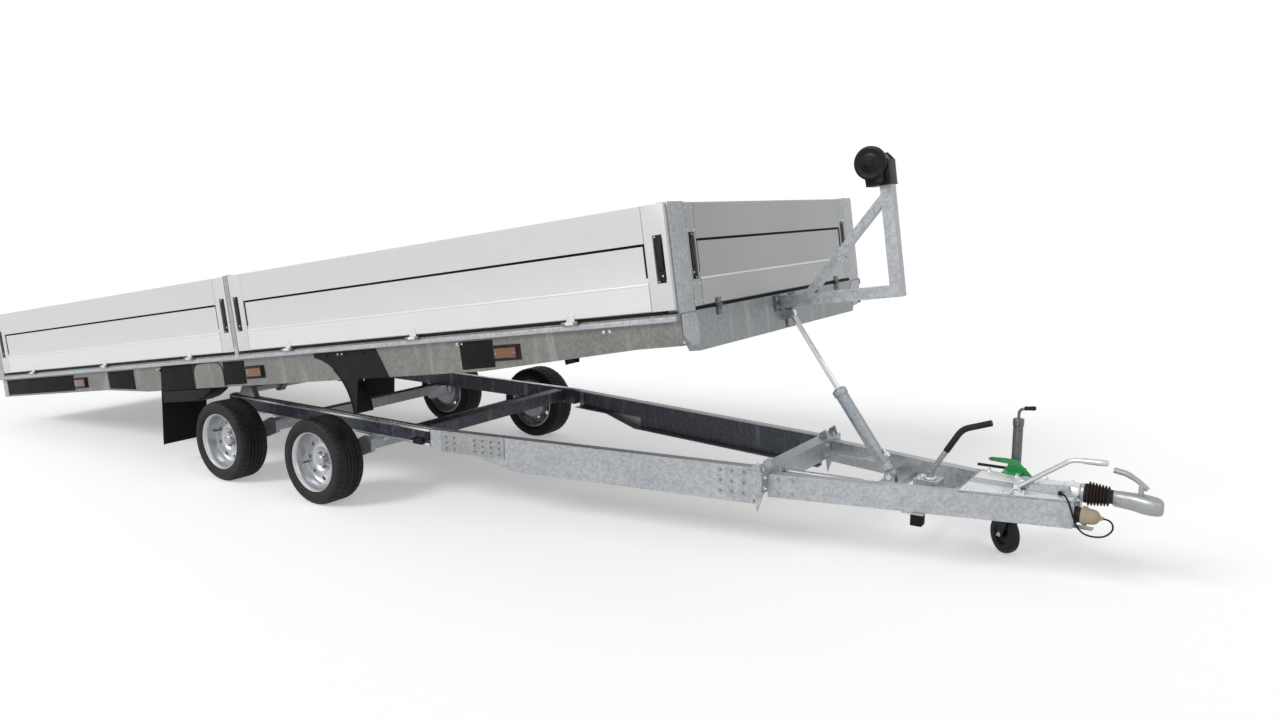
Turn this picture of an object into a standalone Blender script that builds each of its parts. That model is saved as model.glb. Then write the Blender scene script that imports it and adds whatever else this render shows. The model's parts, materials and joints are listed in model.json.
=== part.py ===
# Tilting flat-bed car transporter trailer: two axles, aluminium dropsides, hydraulic ram and winch stand.
# Metres. X points forward to the coupling, Y to the trailer's left, Z up, with the ground at zero.
# The bed is drawn level and tips about its pivot to the loading angle.
import math

import bmesh
import bpy
from mathutils import Matrix, Vector

# Fits between pieces
TOUCH = 0.0003
CLEAR = 0.005
PIN_FIT = 0.0007

# Wheels and axles, front axle at zero lengthwise
TYRE_R = 0.2625
TYRE_W = 0.195
RIM_R = 0.1825
BEAD_R = 0.170
BEAD_SEAT = 0.0795
FLANGE_T = 0.0085
DISC_BACK = 0.012
DISC_T = 0.008
CENTRE_BORE_R = 0.034
VENT_R = 0.014
VENT_CIRCLE_R = 0.118
VENT_COUNT = 8
AXLE_GAP = 0.920
WHEEL_FACE = 1.110
WHEEL_Y = WHEEL_FACE - TYRE_W / 2
DRUM_R = 0.115
DRUM_W = 0.075
DRUM_GAP = 0.004
HUB_R = CENTRE_BORE_R - 0.0006
HUB_NOSE = 0.044
AXLE_TUBE = 0.070
AXLE_AHEAD = 0.150
ARM_T = 0.030
ARM_OUT = 0.090
SEG_WHEEL = 32
SEG_ROUND = 16
SEG_SMALL = 10
SEG_HINGE = 8

# Chassis rails and front beams
RAIL_Y = 0.700
RAIL_W = 0.060
RAIL_TOP = 0.470
RAIL_DEPTH = 0.100
RAIL_WALL = 0.005
RAIL_REAR = -1.330
RAIL_FRONT = 0.620
SPLICE_DEPTH = 0.125
BELLY_DEPTH = 0.190
BELLY_START = 0.300
BELLY_END = 0.560
NOSE_X = 2.600
NOSE_Y = 0.400
CROSS_W = 0.080
CROSS_DEPTH = 0.110
CROSS_REACH = 0.500
MID_X = 0.450
MID_DEPTH = 0.080
PLATE_T = 0.008

# Drawbar
BAR_TOP = 0.450
BAR_DEPTH = 0.120
BAR_W = 0.060
BAR_TIP_X = 4.050
BAR_TIP_Y = 0.085

# Bed pivot
PIVOT_X = -1.150
PIVOT_Z = 0.520
PIVOT_R = 0.030
LUG_W = 0.040
TILT = math.radians(8.1)

# Bed
BED_W = 2.150
BED_L = 6.550
BED_FRONT = 2.616
DECK_Z = 0.785
FLOOR_T = 0.015
LIP_OUT = 0.025
LIP_H = 0.035
SIDE_FLANGE = 0.050
SIDE_T = 0.006
END_BEAM_W = 0.060
FRONT_BEAM_DEPTH = 0.185
REAR_BEAM_DEPTH = 0.165
SLANT_W = 0.090
SLANT_H = 0.125
INNER_Y = 0.450
INNER_W = 0.060
INNER_DEPTH = 0.119
BEARER_W = 0.050
BEARER_DEPTH = 0.080
BEARER_COUNT = 7
BEARER_END = 0.150
# Side beam: distance back from the front, depth
SIDE_DEPTHS = ((0.0, 0.146), (0.25, 0.149), (1.23, 0.205), (4.40, 0.205), (4.95, 0.176))

# Dropsides, boards and posts
BOARD_H = 0.490
BOARD_T = 0.025
BAND_CUT = 0.005
BAND_TOP = 0.166
BAND_LOW = 0.135
BAND_SLOPE = 0.012
CAP_W = 0.120
LATCH_W = 0.052
LATCH_H = 0.215
LATCH_DROP = 0.135
LATCH_CUT = 0.014
LATCH_EDGE = 0.022
CORNER_W = 0.095
CORNER_T = 0.055
CENTRE_W = 0.040
CENTRE_T = 0.035
POST_WALL = 0.006
HINGE_OUT = 0.010
HINGE_R = 0.0095
HINGE_PIN_R = 0.005
HINGE_L = 0.050
HINGE_EAR = 0.022
HINGE_PITCH = 1.080
TAIL_PITCH = 0.700
LEAF_H = 0.045

# Mudguards, flaps and lamps
GUARD_GAP = 0.085
GUARD_T = 0.005
GUARD_RISE = 0.115
GUARD_TO = 80
SKIRT_T = 0.004
SKIRT_END = 0.680
SKIRT_LEAN = 0.080
FLAP_BACK = 0.460
FLAP_SKIRT = 0.430
FLAP_IN = 0.720
FLAP_LOW = 0.200
LAMP_W = 0.210
LAMP_H = 0.090
LAMP_T = 0.030

# Winch stand
STAND_TUBE = 0.060
STAND_WALL = 0.004
STAND_REACH = 0.650
STAND_DROP = 0.073
MAST_H = 0.551
BRACE_T = 0.045
BRACE_FOOT = 0.110
WINCH_PLATE_T = 0.006
WINCH_HALF = 0.052
DRUM_SPOOL_R = 0.038
COVER_R = 0.082
COVER_T = 0.028
WINCH_RISE = 0.112
WINCH_BACK = 0.082

# Ram
RAM_X = 3.160
RAM_Z = 0.415
RAM_EYE_OUT = 0.035
RAM_EYE_Z = 0.675
BARREL_R = 0.032
BARREL_L = 0.510
COLLAR_R = 0.038
BORE_FOOT = 0.045
ROD_R = 0.014
BORE_R = ROD_R + PIN_FIT
ROD_L = 0.515
RAM_PIN_R = 0.010
FOOT_R = 0.026
EYE_R = 0.022
EYE_W = 0.030
LUG_GAP = 0.0015
LUG_T = 0.010
PIN_HEAD_R = 0.017
PIN_HEAD_T = 0.005
SWING_BACK = 0.052

# Hand pump
PUMP_X = 3.280
PUMP_L = 0.150
PUMP_LOW = 0.345
TANK_HALF = 0.050
TANK_TOP = 0.430
LEVER_KNEE = (3.508, 0.700)
LEVER_TIP = (3.646, 0.748)

# Overrun coupling
DRAW_Z = 0.475
DRAW_R = 0.036
HOUSING_X = 3.560
DRAW_FLANGE = 0.008
DRAW_END = 4.075
BELLOWS_L = 0.120
BELLOWS_R = 0.046
BELLOWS_FOLDS = 6
HEAD_L = 0.205
HEAD_HALF = 0.046
SOCKET_R = 0.0255
SOCKET_BACK = 0.055
HANDLE_R = 0.009
BRAKE_Y = -0.052
# Handbrake: place along the trailer, height
BRAKE_LINE = ((3.790, 0.470), (3.972, 0.600), (4.020, 0.635), (4.168, 0.640))

# Jockey wheel
JOCKEY_X = 3.700
JOCKEY_Y = 0.300
JOCKEY_TURN = math.radians(-40)
JOCKEY_R = 0.024
JOCKEY_WALL = 0.004
JOCKEY_LOW = 0.394
JOCKEY_TOP = 0.760
LEG_TOP = 0.560
FORK_TOP = 0.2472
FORK_T = 0.005
CASTOR_R = 0.100
CASTOR_W = 0.050
CASTOR_TRAIL = 0.055
CASTOR_PIN_R = 0.008
CLAMP_H = 0.062

# Material: colour, roughness, metallic
MATERIALS = {
    "galvanised": ((0.50, 0.52, 0.53), 0.45, 0.9),
    "aluminium": ((0.80, 0.81, 0.82), 0.35, 0.9),
    "plywood": ((0.16, 0.10, 0.07), 0.6, 0.0),
    "black_plastic": ((0.02, 0.02, 0.02), 0.55, 0.0),
    "rubber": ((0.02, 0.02, 0.02), 0.8, 0.0),
    "rim_silver": ((0.70, 0.71, 0.72), 0.35, 0.8),
    "chrome": ((0.80, 0.80, 0.80), 0.12, 1.0),
    "green_paint": ((0.02, 0.30, 0.09), 0.4, 0.0),
    "black_paint": ((0.02, 0.02, 0.02), 0.4, 0.0),
    "zinc": ((0.68, 0.69, 0.70), 0.4, 0.9),
    "lamp_red": ((0.50, 0.01, 0.01), 0.15, 0.0),
}
# First words of the names that wear each material, tried in order
WEARS = {
    "rubber": ("tyre", "mud_flap", "bellows", "jockey_wheel"),
    "rim_silver": ("rim",),
    "aluminium": ("panel", "front_board", "tailboard"),
    "plywood": ("floor",),
    "black_plastic": ("mudguard",),
    "chrome": ("ram_rod",),
    "green_paint": ("jockey_clamp",),
    "black_paint": ("winch_body", "pump", "jockey_tube"),
    "zinc": ("coupling", "handbrake", "jockey", "overrun"),
    "lamp_red": ("tail_lamp",),
    "galvanised": ("",),
}

SIDES = ((1, "L"), (-1, "R"))
BED_TAIL = BED_FRONT - BED_L
SIDE_WEB = BED_W / 2 - LIP_OUT
SIDE_INNER = SIDE_WEB - SIDE_FLANGE
BOARD_LOW = DECK_Z + CLEAR
BOARD_TOP = BOARD_LOW + BOARD_H - CLEAR
HEAD_START = DRAW_END + BELLOWS_L + 2 * TOUCH
TIP_X = HEAD_START + HEAD_L
PIVOT = Vector((PIVOT_X, 0, PIVOT_Z))
LEVEL_TO_TILT = Matrix.Translation(PIVOT) @ Matrix.Rotation(-TILT, 4, "Y") @ Matrix.Translation(-PIVOT)


# Modelling helpers
def finish_mesh(name, work, round_piece=False):
    bmesh.ops.remove_doubles(work, verts=work.verts, dist=1e-6)
    bmesh.ops.recalc_face_normals(work, faces=work.faces)
    mesh = bpy.data.meshes.new(name)
    work.to_mesh(mesh)
    work.free()
    if round_piece:
        mesh.shade_smooth()
        mesh.set_sharp_from_angle(angle=math.radians(35))
    thing = bpy.data.objects.new(name, mesh)
    bpy.context.collection.objects.link(thing)
    return thing


def prism(name, outline, along, lo, hi):
    """Extrudes a closed outline in the other two axes from lo to hi."""
    spot = {"x": lambda a, b: (lo, a, b), "y": lambda a, b: (a, lo, b), "z": lambda a, b: (a, b, lo)}[along]
    push = {"x": (hi - lo, 0, 0), "y": (0, hi - lo, 0), "z": (0, 0, hi - lo)}[along]
    work = bmesh.new()
    face = work.faces.new([work.verts.new(spot(a, b)) for a, b in outline])
    grown = bmesh.ops.extrude_face_region(work, geom=[face])
    moved = [v for v in grown["geom"] if isinstance(v, bmesh.types.BMVert)]
    bmesh.ops.translate(work, verts=moved, vec=push)
    return finish_mesh(name, work)


def box(name, x, y, z):
    x, y, z = sorted(x), sorted(y), sorted(z)
    return prism(name, [(x[0], y[0]), (x[1], y[0]), (x[1], y[1]), (x[0], y[1])], "z", z[0], z[1])


def turned(name, profile, centre=(0, 0, 0), axis="y", segments=SEG_ROUND, side=1):
    """Spins a profile of radius and place about an axis; it is open where it meets the axis."""
    spot = {"y": lambda r, a: (r, a, 0), "x": lambda r, a: (a, r, 0), "z": lambda r, a: (r, 0, a)}[axis]
    way = {"x": (1, 0, 0), "y": (0, 1, 0), "z": (0, 0, 1)}[axis]
    work = bmesh.new()
    verts = [work.verts.new(spot(r, side * a)) for r, a in profile]
    pairs = list(zip(verts, verts[1:]))
    if profile[0][0] > 0:
        pairs.append((verts[-1], verts[0]))
    edges = [work.edges.new(p) for p in pairs]
    bmesh.ops.spin(work, geom=verts + edges, cent=(0, 0, 0), axis=way, angle=2 * math.pi, steps=segments,
                   use_merge=True)
    bmesh.ops.translate(work, verts=work.verts, vec=centre)
    return finish_mesh(name, work, True)


def bar(name, start, end, radius, segments=SEG_SMALL):
    """A round bar between two points."""
    start, end = Vector(start), Vector(end)
    thing = turned(name, [(0, 0), (radius, 0), (radius, (end - start).length), (0, (end - start).length)],
                   axis="z", segments=segments)
    turn = Vector((0, 0, 1)).rotation_difference(end - start).to_matrix().to_4x4()
    thing.data.transform(Matrix.Translation(start) @ turn)
    return thing


def boolean(target, tool, how):
    step = target.modifiers.new(how.lower(), "BOOLEAN")
    step.operation, step.solver, step.object = how, "EXACT", tool
    tool.hide_render, tool.display_type = True, "WIRE"


def cut(target, *tools):
    for tool in tools:
        boolean(target, tool, "DIFFERENCE")
    return target


def weld(target, *tools):
    for tool in tools:
        boolean(target, tool, "UNION")
    return target


def between(side, a, b):
    """Two distances from the middle plane, on one side, in rising order."""
    return sorted((side * a, side * b))


# Wheels: tyre and rim
def wheel(tag, x, side):
    half, centre = TYRE_W / 2, (x, side * WHEEL_Y, TYRE_R)
    wall = [(BEAD_R, BEAD_SEAT), (RIM_R + TOUCH, BEAD_SEAT), (0.205, half * 0.97), (0.228, half),
            (0.252, half * 0.90), (TYRE_R, half * 0.68)]
    turned(f"tyre_{tag}", wall + [(r, -a) for r, a in reversed(wall)], centre, "y", SEG_WHEEL, side)
    seat, edge = BEAD_R - TOUCH, BEAD_SEAT + FLANGE_T
    well = seat - FLANGE_T
    front = DISC_BACK - DISC_T
    rim = [(RIM_R, edge), (RIM_R, BEAD_SEAT + TOUCH), (seat, BEAD_SEAT), (seat, -BEAD_SEAT),
           (RIM_R, -BEAD_SEAT - TOUCH), (RIM_R, -edge), (well, -BEAD_SEAT), (well, -DISC_BACK * 2),
           (0.085, front), (0.060, -DISC_BACK), (CENTRE_BORE_R, -DISC_BACK),
           (CENTRE_BORE_R, -front), (0.060, -front), (0.085, DISC_BACK), (well, -front), (well, BEAD_SEAT)]
    body = turned(f"rim_{tag}", rim, centre, "y", SEG_WHEEL, side)
    for k in range(VENT_COUNT):
        t = 2 * math.pi * (k + 0.5) / VENT_COUNT
        spot = Vector((x + VENT_CIRCLE_R * math.cos(t), side * WHEEL_Y, TYRE_R + VENT_CIRCLE_R * math.sin(t)))
        reach = Vector((0, 0.04, 0))
        cut(body, bar(f"vent_{tag}_{k}", spot - reach, spot + reach, VENT_R, 6))


# Axles: cross tube under the rails, trailing arms, knuckles, drums and hubs
def axle(tag, x):
    h = AXLE_TUBE / 2
    z = RAIL_TOP - RAIL_DEPTH - TOUCH - h
    ahead, reach = x + AXLE_AHEAD, RAIL_Y + ARM_OUT
    drum_in = WHEEL_Y - DISC_BACK - DRUM_GAP - DRUM_W
    tube = box(f"axle_{tag}", (ahead - h, ahead + h), (-reach, reach), (z - h, z + h))
    for side, mark in SIDES:
        arm = [(ahead + 0.045, z + 0.030), (ahead - 0.030, z + 0.045), (x - 0.030, TYRE_R + 0.045), (x - 0.050, TYRE_R),
               (x - 0.030, TYRE_R - 0.045), (x + 0.020, TYRE_R - 0.042), (ahead + 0.045, z - 0.045)]
        ys = between(side, reach - 0.010, reach - 0.010 + ARM_T)
        drum = [(0, 0), (0.034, 0), (0.034, drum_in - reach), (DRUM_R - 0.015, drum_in - reach),
                (DRUM_R, drum_in - reach + 0.012), (DRUM_R, drum_in - reach + DRUM_W),
                (HUB_R, drum_in - reach + DRUM_W), (HUB_R, drum_in - reach + DRUM_W + HUB_NOSE),
                (HUB_R * 0.7, drum_in - reach + DRUM_W + HUB_NOSE + 0.006), (0, drum_in - reach + DRUM_W + HUB_NOSE + 0.006)]
        weld(tube, prism(f"arm_{tag}_{mark}", arm, "y", *ys),
             turned(f"drum_{tag}_{mark}", drum, (x, side * reach, TYRE_R), "y", 20, side))


# Rails over the wheels, open at the back
def rail(mark, side):
    h = RAIL_W / 2
    y0, y1 = between(side, RAIL_Y - h, RAIL_Y + h)
    body = box(f"rail_{mark}", (RAIL_REAR, RAIL_FRONT), (y0, y1), (RAIL_TOP - RAIL_DEPTH, RAIL_TOP))
    cut(body, box(f"rail_bore_{mark}", (RAIL_REAR - 0.01, RAIL_REAR + 0.50), (y0 + RAIL_WALL, y1 - RAIL_WALL),
                  (RAIL_TOP - RAIL_DEPTH + RAIL_WALL, RAIL_TOP - RAIL_WALL)))


def plan_bar(name, x0, y0, x1, y1, width, z0, z1, side):
    """A straight bar that closes inward, its ends square to the trailer."""
    h = width / 2
    corners = [(x0, side * (y0 - h)), (x1, side * (y1 - h)), (x1, side * (y1 + h)), (x0, side * (y0 + h))]
    return prism(name, corners, "z", z0, z1)


# Deep folded front beams, open to the inside, slim at the splice
def front_beam(mark, side):
    x0, x1 = RAIL_FRONT + TOUCH, NOSE_X - TOUCH
    slim, low = RAIL_TOP - SPLICE_DEPTH, RAIL_TOP - BELLY_DEPTH
    body = plan_bar(f"front_beam_{mark}", x0, RAIL_Y, x1, NOSE_Y, RAIL_W, low, RAIL_TOP, side)
    step = [(x0 - 0.1, slim), (x0 + BELLY_START, slim), (x0 + BELLY_END, low), (x0 + BELLY_END, low - 0.1), (x0 - 0.1, low - 0.1)]
    cut(body, prism(f"belly_{mark}", step, "y", *between(side, 0.1, 1.0)))
    w = RAIL_WALL
    inner = [(x0 - 0.1, slim + w), (x0 + BELLY_START + w, slim + w), (x0 + BELLY_END + w, low + w), (x1 + 0.1, low + w),
             (x1 + 0.1, RAIL_TOP - w), (x0 - 0.1, RAIL_TOP - w)]
    pocket = prism(f"pocket_{mark}", inner, "y", *between(side, -RAIL_W, RAIL_W / 2 - w))
    lean = Matrix.Identity(4)
    lean[1][0] = side * (NOSE_Y - RAIL_Y) / (x1 - x0)
    lean[1][3] = side * RAIL_Y - lean[1][0] * x0
    pocket.data.transform(lean)
    cut(body, pocket)


def bar_inside(x):
    """Half the free width between the drawbar rails."""
    x0 = NOSE_X + CROSS_W + TOUCH
    t = (x - x0) / (BAR_TIP_X - x0)
    return NOSE_Y * (1 - t) + BAR_TIP_Y * t - BAR_W / 2


def drawbar(mark, side):
    plan_bar(f"drawbar_{mark}", NOSE_X + CROSS_W + TOUCH, NOSE_Y, BAR_TIP_X, BAR_TIP_Y, BAR_W,
             BAR_TOP - BAR_DEPTH, BAR_TOP, side)


def across(name, x0, x1, z0, z1):
    """A plate between the drawbar rails, cut to their slope."""
    y0, y1 = bar_inside(x0) - TOUCH, bar_inside(x1) - TOUCH
    return prism(name, [(x0, -y0), (x1, -y1), (x1, y1), (x0, y0)], "z", z0, z1)


# Cross members: front one with gusset fins, middle one, rear pivot tube
def cross_members():
    x0, x1, top = NOSE_X, NOSE_X + CROSS_W, RAIL_TOP
    front = box("cross_front", (x0, x1), (-CROSS_REACH, CROSS_REACH), (top - CROSS_DEPTH, top))
    for side, mark in SIDES:
        for k, y in enumerate((CROSS_REACH - 0.012, NOSE_Y - 0.045)):
            fin = [(x0 + 0.010, top - 0.01), (x1 - 0.010, top - 0.01), (x1 - 0.030, top + 0.045), (x0 + 0.015, top + 0.020)]
            weld(front, prism(f"fin_{mark}_{k}", fin, "y", *between(side, y, y - PLATE_T)))
        foot = [(x0 + 0.008, top - CROSS_DEPTH + 0.01), (x1 - 0.008, top - CROSS_DEPTH + 0.01),
                (x1 - 0.050, top - CROSS_DEPTH - 0.120)]
        y = NOSE_Y + BAR_W / 2 + 0.010
        weld(front, prism(f"foot_fin_{mark}", foot, "y", *between(side, y, y + PLATE_T)))
    inside = RAIL_Y - RAIL_W / 2 - TOUCH
    box("cross_mid", (MID_X, MID_X + CROSS_W), (-inside, inside), (RAIL_TOP - MID_DEPTH, RAIL_TOP - 0.005))
    reach = RAIL_Y + 0.015
    pivot = bar("pivot_tube", (PIVOT_X, -reach, PIVOT_Z), (PIVOT_X, reach, PIVOT_Z), PIVOT_R, SEG_ROUND)
    for side, mark in SIDES:
        plate = [(PIVOT_X - 0.090, top + TOUCH), (PIVOT_X + 0.090, top + TOUCH), (PIVOT_X + 0.042, PIVOT_Z + 0.036),
                 (PIVOT_X, PIVOT_Z + 0.048), (PIVOT_X - 0.042, PIVOT_Z + 0.036)]
        weld(pivot, prism(f"pivot_bracket_{mark}", plate, "y", *between(side, RAIL_Y - 0.020, RAIL_Y + 0.020)))


# Ram: bracket across the drawbar, barrel and rod in line from its foot to the eye under the bed
def ram_line():
    foot = Vector((RAM_X, 0, RAM_Z))
    eye = LEVEL_TO_TILT @ Vector((BED_FRONT + RAM_EYE_OUT, 0, RAM_EYE_Z))
    turn = Vector((0, 0, 1)).rotation_difference(eye - foot).to_matrix().to_4x4()
    return foot, eye, Matrix.Translation(foot) @ turn


def ram():
    foot, eye, turn = ram_line()
    x, z = foot.x, foot.z
    top = z - FOOT_R - CLEAR
    bracket = across("ram_bracket", x - 0.050, x + 0.050, top - 0.040, top)
    gap = EYE_W / 2 + LUG_GAP
    for side, mark in SIDES:
        lug = [(x - 0.035, top - 0.01), (x + 0.035, top - 0.01), (x + 0.022, z + 0.018), (x, z + 0.028), (x - 0.022, z + 0.018)]
        weld(bracket, prism(f"ram_lug_{mark}", lug, "y", *between(side, gap, gap + LUG_T)))
    weld(bracket, bar("ram_pin", (x, -gap - LUG_T - 0.004, z), (x, gap + LUG_T + 0.004, z), RAM_PIN_R, SEG_ROUND))
    w = EYE_W / 2
    shell = [(0, 0.030), (BARREL_R, 0.030), (BARREL_R, BARREL_L - 0.032), (COLLAR_R, BARREL_L - 0.028),
             (COLLAR_R, BARREL_L - 0.006), (COLLAR_R - 0.006, BARREL_L), (BORE_R, BARREL_L), (BORE_R, BORE_FOOT),
             (0, BORE_FOOT)]
    barrel = turned("ram_barrel", shell, axis="z")
    barrel.data.transform(turn)
    hole = RAM_PIN_R + PIN_FIT
    eyelet = turned("ram_foot", [(hole, -w), (FOOT_R, -w), (FOOT_R, w), (hole, w)], tuple(foot))
    neck = box("ram_neck", (-0.014, 0.014), (-w + 0.001, w - 0.001), (0.018, 0.036))
    neck.data.transform(turn)
    weld(barrel, eyelet, neck)
    length = (eye - foot).length
    rod = turned("ram_rod", [(0, length - ROD_L), (ROD_R, length - ROD_L), (ROD_R, length - 0.014), (0, length - 0.014)],
                 axis="z")
    rod.data.transform(turn)
    weld(rod, turned("ram_eyelet", [(0, -w), (EYE_R, -w), (EYE_R, w), (0, w)], tuple(eye)))


# Hand pump low between the drawbar rails, its lever cranked up over them
def pump():
    x0, x1 = PUMP_X, PUMP_X + PUMP_L
    plate = across("pump", x0, x1, PUMP_LOW, PUMP_LOW + PLATE_T)
    tank = box("pump_tank", (x0 + 0.012, x1 - 0.012), (-TANK_HALF, TANK_HALF), (PUMP_LOW + 0.002, TANK_TOP))
    x, top = x0 + PUMP_L * 0.55, TANK_TOP + 0.020
    weld(plate, tank, bar("pump_neck", (x, 0, TANK_TOP - 0.01), (x, 0, top), 0.022, SEG_ROUND))
    low, knee, tip = (x, 0, top + 0.010), (LEVER_KNEE[0], 0, LEVER_KNEE[1]), (LEVER_TIP[0], 0, LEVER_TIP[1])
    lever = bar("pump_lever", low, knee, 0.009)
    near = Vector(knee).lerp(Vector(low), 0.02)
    weld(lever, bar("pump_grip", near, tip, 0.013),
         box("lever_socket", (x - 0.013, x + 0.013), (-0.013, 0.013), (top + TOUCH, top + 0.016)))


# Overrun housing with its drawtube, bellows and cast head
def coupling():
    x0, top, z = HOUSING_X, BAR_TOP + TOUCH, DRAW_Z
    half0, half1 = bar_inside(x0) + BAR_W * 0.8, bar_inside(BAR_TIP_X) + BAR_W * 0.8
    housing = prism("overrun_housing", [(x0, -half0), (BAR_TIP_X, -half1), (BAR_TIP_X, half1), (x0, half0)], "z",
                    top, top + PLATE_T)
    tube = [(0, x0 + 0.240), (DRAW_R, x0 + 0.240), (DRAW_R, DRAW_END - 0.015), (DRAW_R + DRAW_FLANGE, DRAW_END - 0.012),
            (DRAW_R + DRAW_FLANGE, DRAW_END), (0, DRAW_END)]
    weld(housing, turned("drawtube", tube, (0, 0, z), "x"))
    for side, mark in SIDES:
        cheek = [(x0 + 0.260, top + 0.002), (BAR_TIP_X - 0.010, top + 0.002), (BAR_TIP_X - 0.030, z + 0.030),
                 (x0 + 0.300, z + 0.020)]
        weld(housing, prism(f"cheek_{mark}", cheek, "y", *between(side, DRAW_R - 0.004, DRAW_R + 0.008)))
    pitch = (BELLOWS_L - 0.010) / BELLOWS_FOLDS
    folds = [(0, DRAW_END + TOUCH)]
    for k in range(BELLOWS_FOLDS):
        a, r = DRAW_END + TOUCH + pitch * k, BELLOWS_R - 0.001 * k
        folds += [(r - 0.008, a), (r, a + pitch / 2)]
    end = DRAW_END + TOUCH + BELLOWS_L
    folds += [(BELLOWS_R - 0.014, end - 0.010), (BELLOWS_R - 0.014, end), (0, end)]
    turned("bellows", folds, (0, 0, z), "x")
    a, b = HEAD_START, TIP_X
    from_side = [(a, z - 0.030), (a, z + 0.030), (a + 0.070, z + 0.032), (a + 0.135, z + 0.032), (b - 0.022, z + 0.014),
                 (b, z - 0.014), (b - 0.002, z - 0.044), (b - 0.024, z - 0.056), (b - 0.088, z - 0.056),
                 (b - 0.112, z - 0.032)]
    from_top = [(a - 0.01, -0.026), (a + 0.070, -0.030), (b - 0.092, -HEAD_HALF), (b - 0.036, -HEAD_HALF),
                (b + 0.001, -0.020), (b + 0.001, 0.020), (b - 0.036, HEAD_HALF), (b - 0.092, HEAD_HALF),
                (a + 0.070, 0.030), (a - 0.01, 0.026)]
    head = prism("coupling_head", from_side, "y", -0.06, 0.06)
    boolean(head, prism("head_plan", from_top, "z", z - 0.1, z + 0.1), "INTERSECT")
    socket = [(0, -0.080), (SOCKET_R, -0.080), (SOCKET_R, -0.032), (SOCKET_R * 0.7, -0.014), (0, -0.008)]
    cut(head, turned("ball_socket", socket, (b - SOCKET_BACK, 0, z), "z"))
    crown = z + 0.032 + TOUCH
    post = a + 0.110
    handle = bar("coupling_handle", (a + 0.010, 0, crown + 0.052), (a + 0.128, 0, crown + 0.016), HANDLE_R)
    weld(handle, box("handle_post", (post - 0.008, post + 0.008), (-0.010, 0.010), (crown, crown + 0.020)))


def handbrake():
    points = [Vector((x, BRAKE_Y, z)) for x, z in BRAKE_LINE]
    lever = bar("handbrake_lever", points[0], points[1], 0.008)
    for k in (1, 2):
        start = points[k].lerp(points[k - 1], 0.03)
        weld(lever, bar(f"brake_run_{k}", start, points[k + 1], 0.008 + 0.001 * (k - 1) * 2))
    x, z = BRAKE_LINE[0]
    weld(lever, box("brake_foot", (x - 0.014, x + 0.014), (BRAKE_Y - 0.006, BRAKE_Y + 0.006),
                    (BAR_TOP + PLATE_T + 2 * TOUCH, z + 0.010)))


# Jockey wheel: clamp on the left drawbar rail, outer tube with crank, leg, fork and castor
def jockey():
    x, y, bore = JOCKEY_X, JOCKEY_Y, JOCKEY_R - JOCKEY_WALL
    face = bar_inside(x - 0.045) + BAR_W + TOUCH
    z0, z1 = BAR_TOP - 0.050, BAR_TOP - 0.050 + CLAMP_H
    clamp = box("jockey_clamp", (x - 0.045, x + 0.045), (face, y + JOCKEY_R + 0.014), (z0, z1))
    cut(clamp, bar("clamp_bore", (x, y, z0 - 0.1), (x, y, z1 + 0.1), JOCKEY_R + TOUCH, SEG_ROUND))
    weld(clamp, box("clamp_arm", (x - 0.110, x - 0.040), (y - 0.010, y + 0.010), (z1 - 0.024, z1 - 0.008)))
    capped = [(bore, JOCKEY_LOW), (JOCKEY_R, JOCKEY_LOW), (JOCKEY_R, JOCKEY_TOP - 0.005), (0.027, JOCKEY_TOP - 0.005),
              (0.027, JOCKEY_TOP + 0.025), (0, JOCKEY_TOP + 0.025), (0, JOCKEY_TOP), (bore, JOCKEY_TOP)]
    work = [(r, a) for r, a in reversed(capped[6:] + capped[:6])]
    tube = turned("jockey_tube", work, (x, y, 0), "z")
    crank = Vector((0.074, 0, 0))
    top = Vector((x, y, JOCKEY_TOP + 0.012))
    weld(tube, bar("jockey_crank", top, top + crank + Vector((0.006, 0, 0.022)), 0.007),
         bar("jockey_knob", top + crank + Vector((0, 0, 0.014)), top + crank + Vector((0, 0, 0.075)), 0.009))
    bar("jockey_leg", (x, y, FORK_TOP + TOUCH), (x, y, LEG_TOP), bore - PIN_FIT, SEG_ROUND)
    w, hx, pin_z = CASTOR_W / 2 + 0.006, x - CASTOR_TRAIL, CASTOR_R
    fork = box("jockey_fork", (hx - 0.030, x + 0.022), (y - w - FORK_T, y + w + FORK_T), (FORK_TOP - 0.022, FORK_TOP))
    legs = [(hx - 0.016, pin_z - 0.016), (hx + 0.016, pin_z - 0.016), (x + 0.022, FORK_TOP - 0.016),
            (hx - 0.030, FORK_TOP - 0.016)]
    tools = [prism(f"fork_side_{mark}", legs, "y", *sorted((y + side * w, y + side * (w + FORK_T)))) for side, mark in SIDES]
    tools.append(bar("fork_pin", (hx, y - w - 0.004, pin_z), (hx, y + w + 0.004, pin_z), CASTOR_PIN_R, SEG_ROUND))
    weld(fork, *tools)
    h, hole = CASTOR_W / 2, CASTOR_PIN_R + PIN_FIT
    disc = [(hole, -h), (0.060, -h), (0.064, -h * 0.7), (0.088, -h), (0.097, -h * 0.7), (CASTOR_R, -h * 0.3)]
    castor = turned("jockey_wheel", disc + [(r, -a) for r, a in reversed(disc)], (hx, y, pin_z), "y", 20)
    swivel = Matrix.Translation((x, y, 0)) @ Matrix.Rotation(JOCKEY_TURN, 4, "Z") @ Matrix.Translation((-x, -y, 0))
    for thing in [fork, castor] + tools:
        thing.data.transform(swivel)


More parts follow.
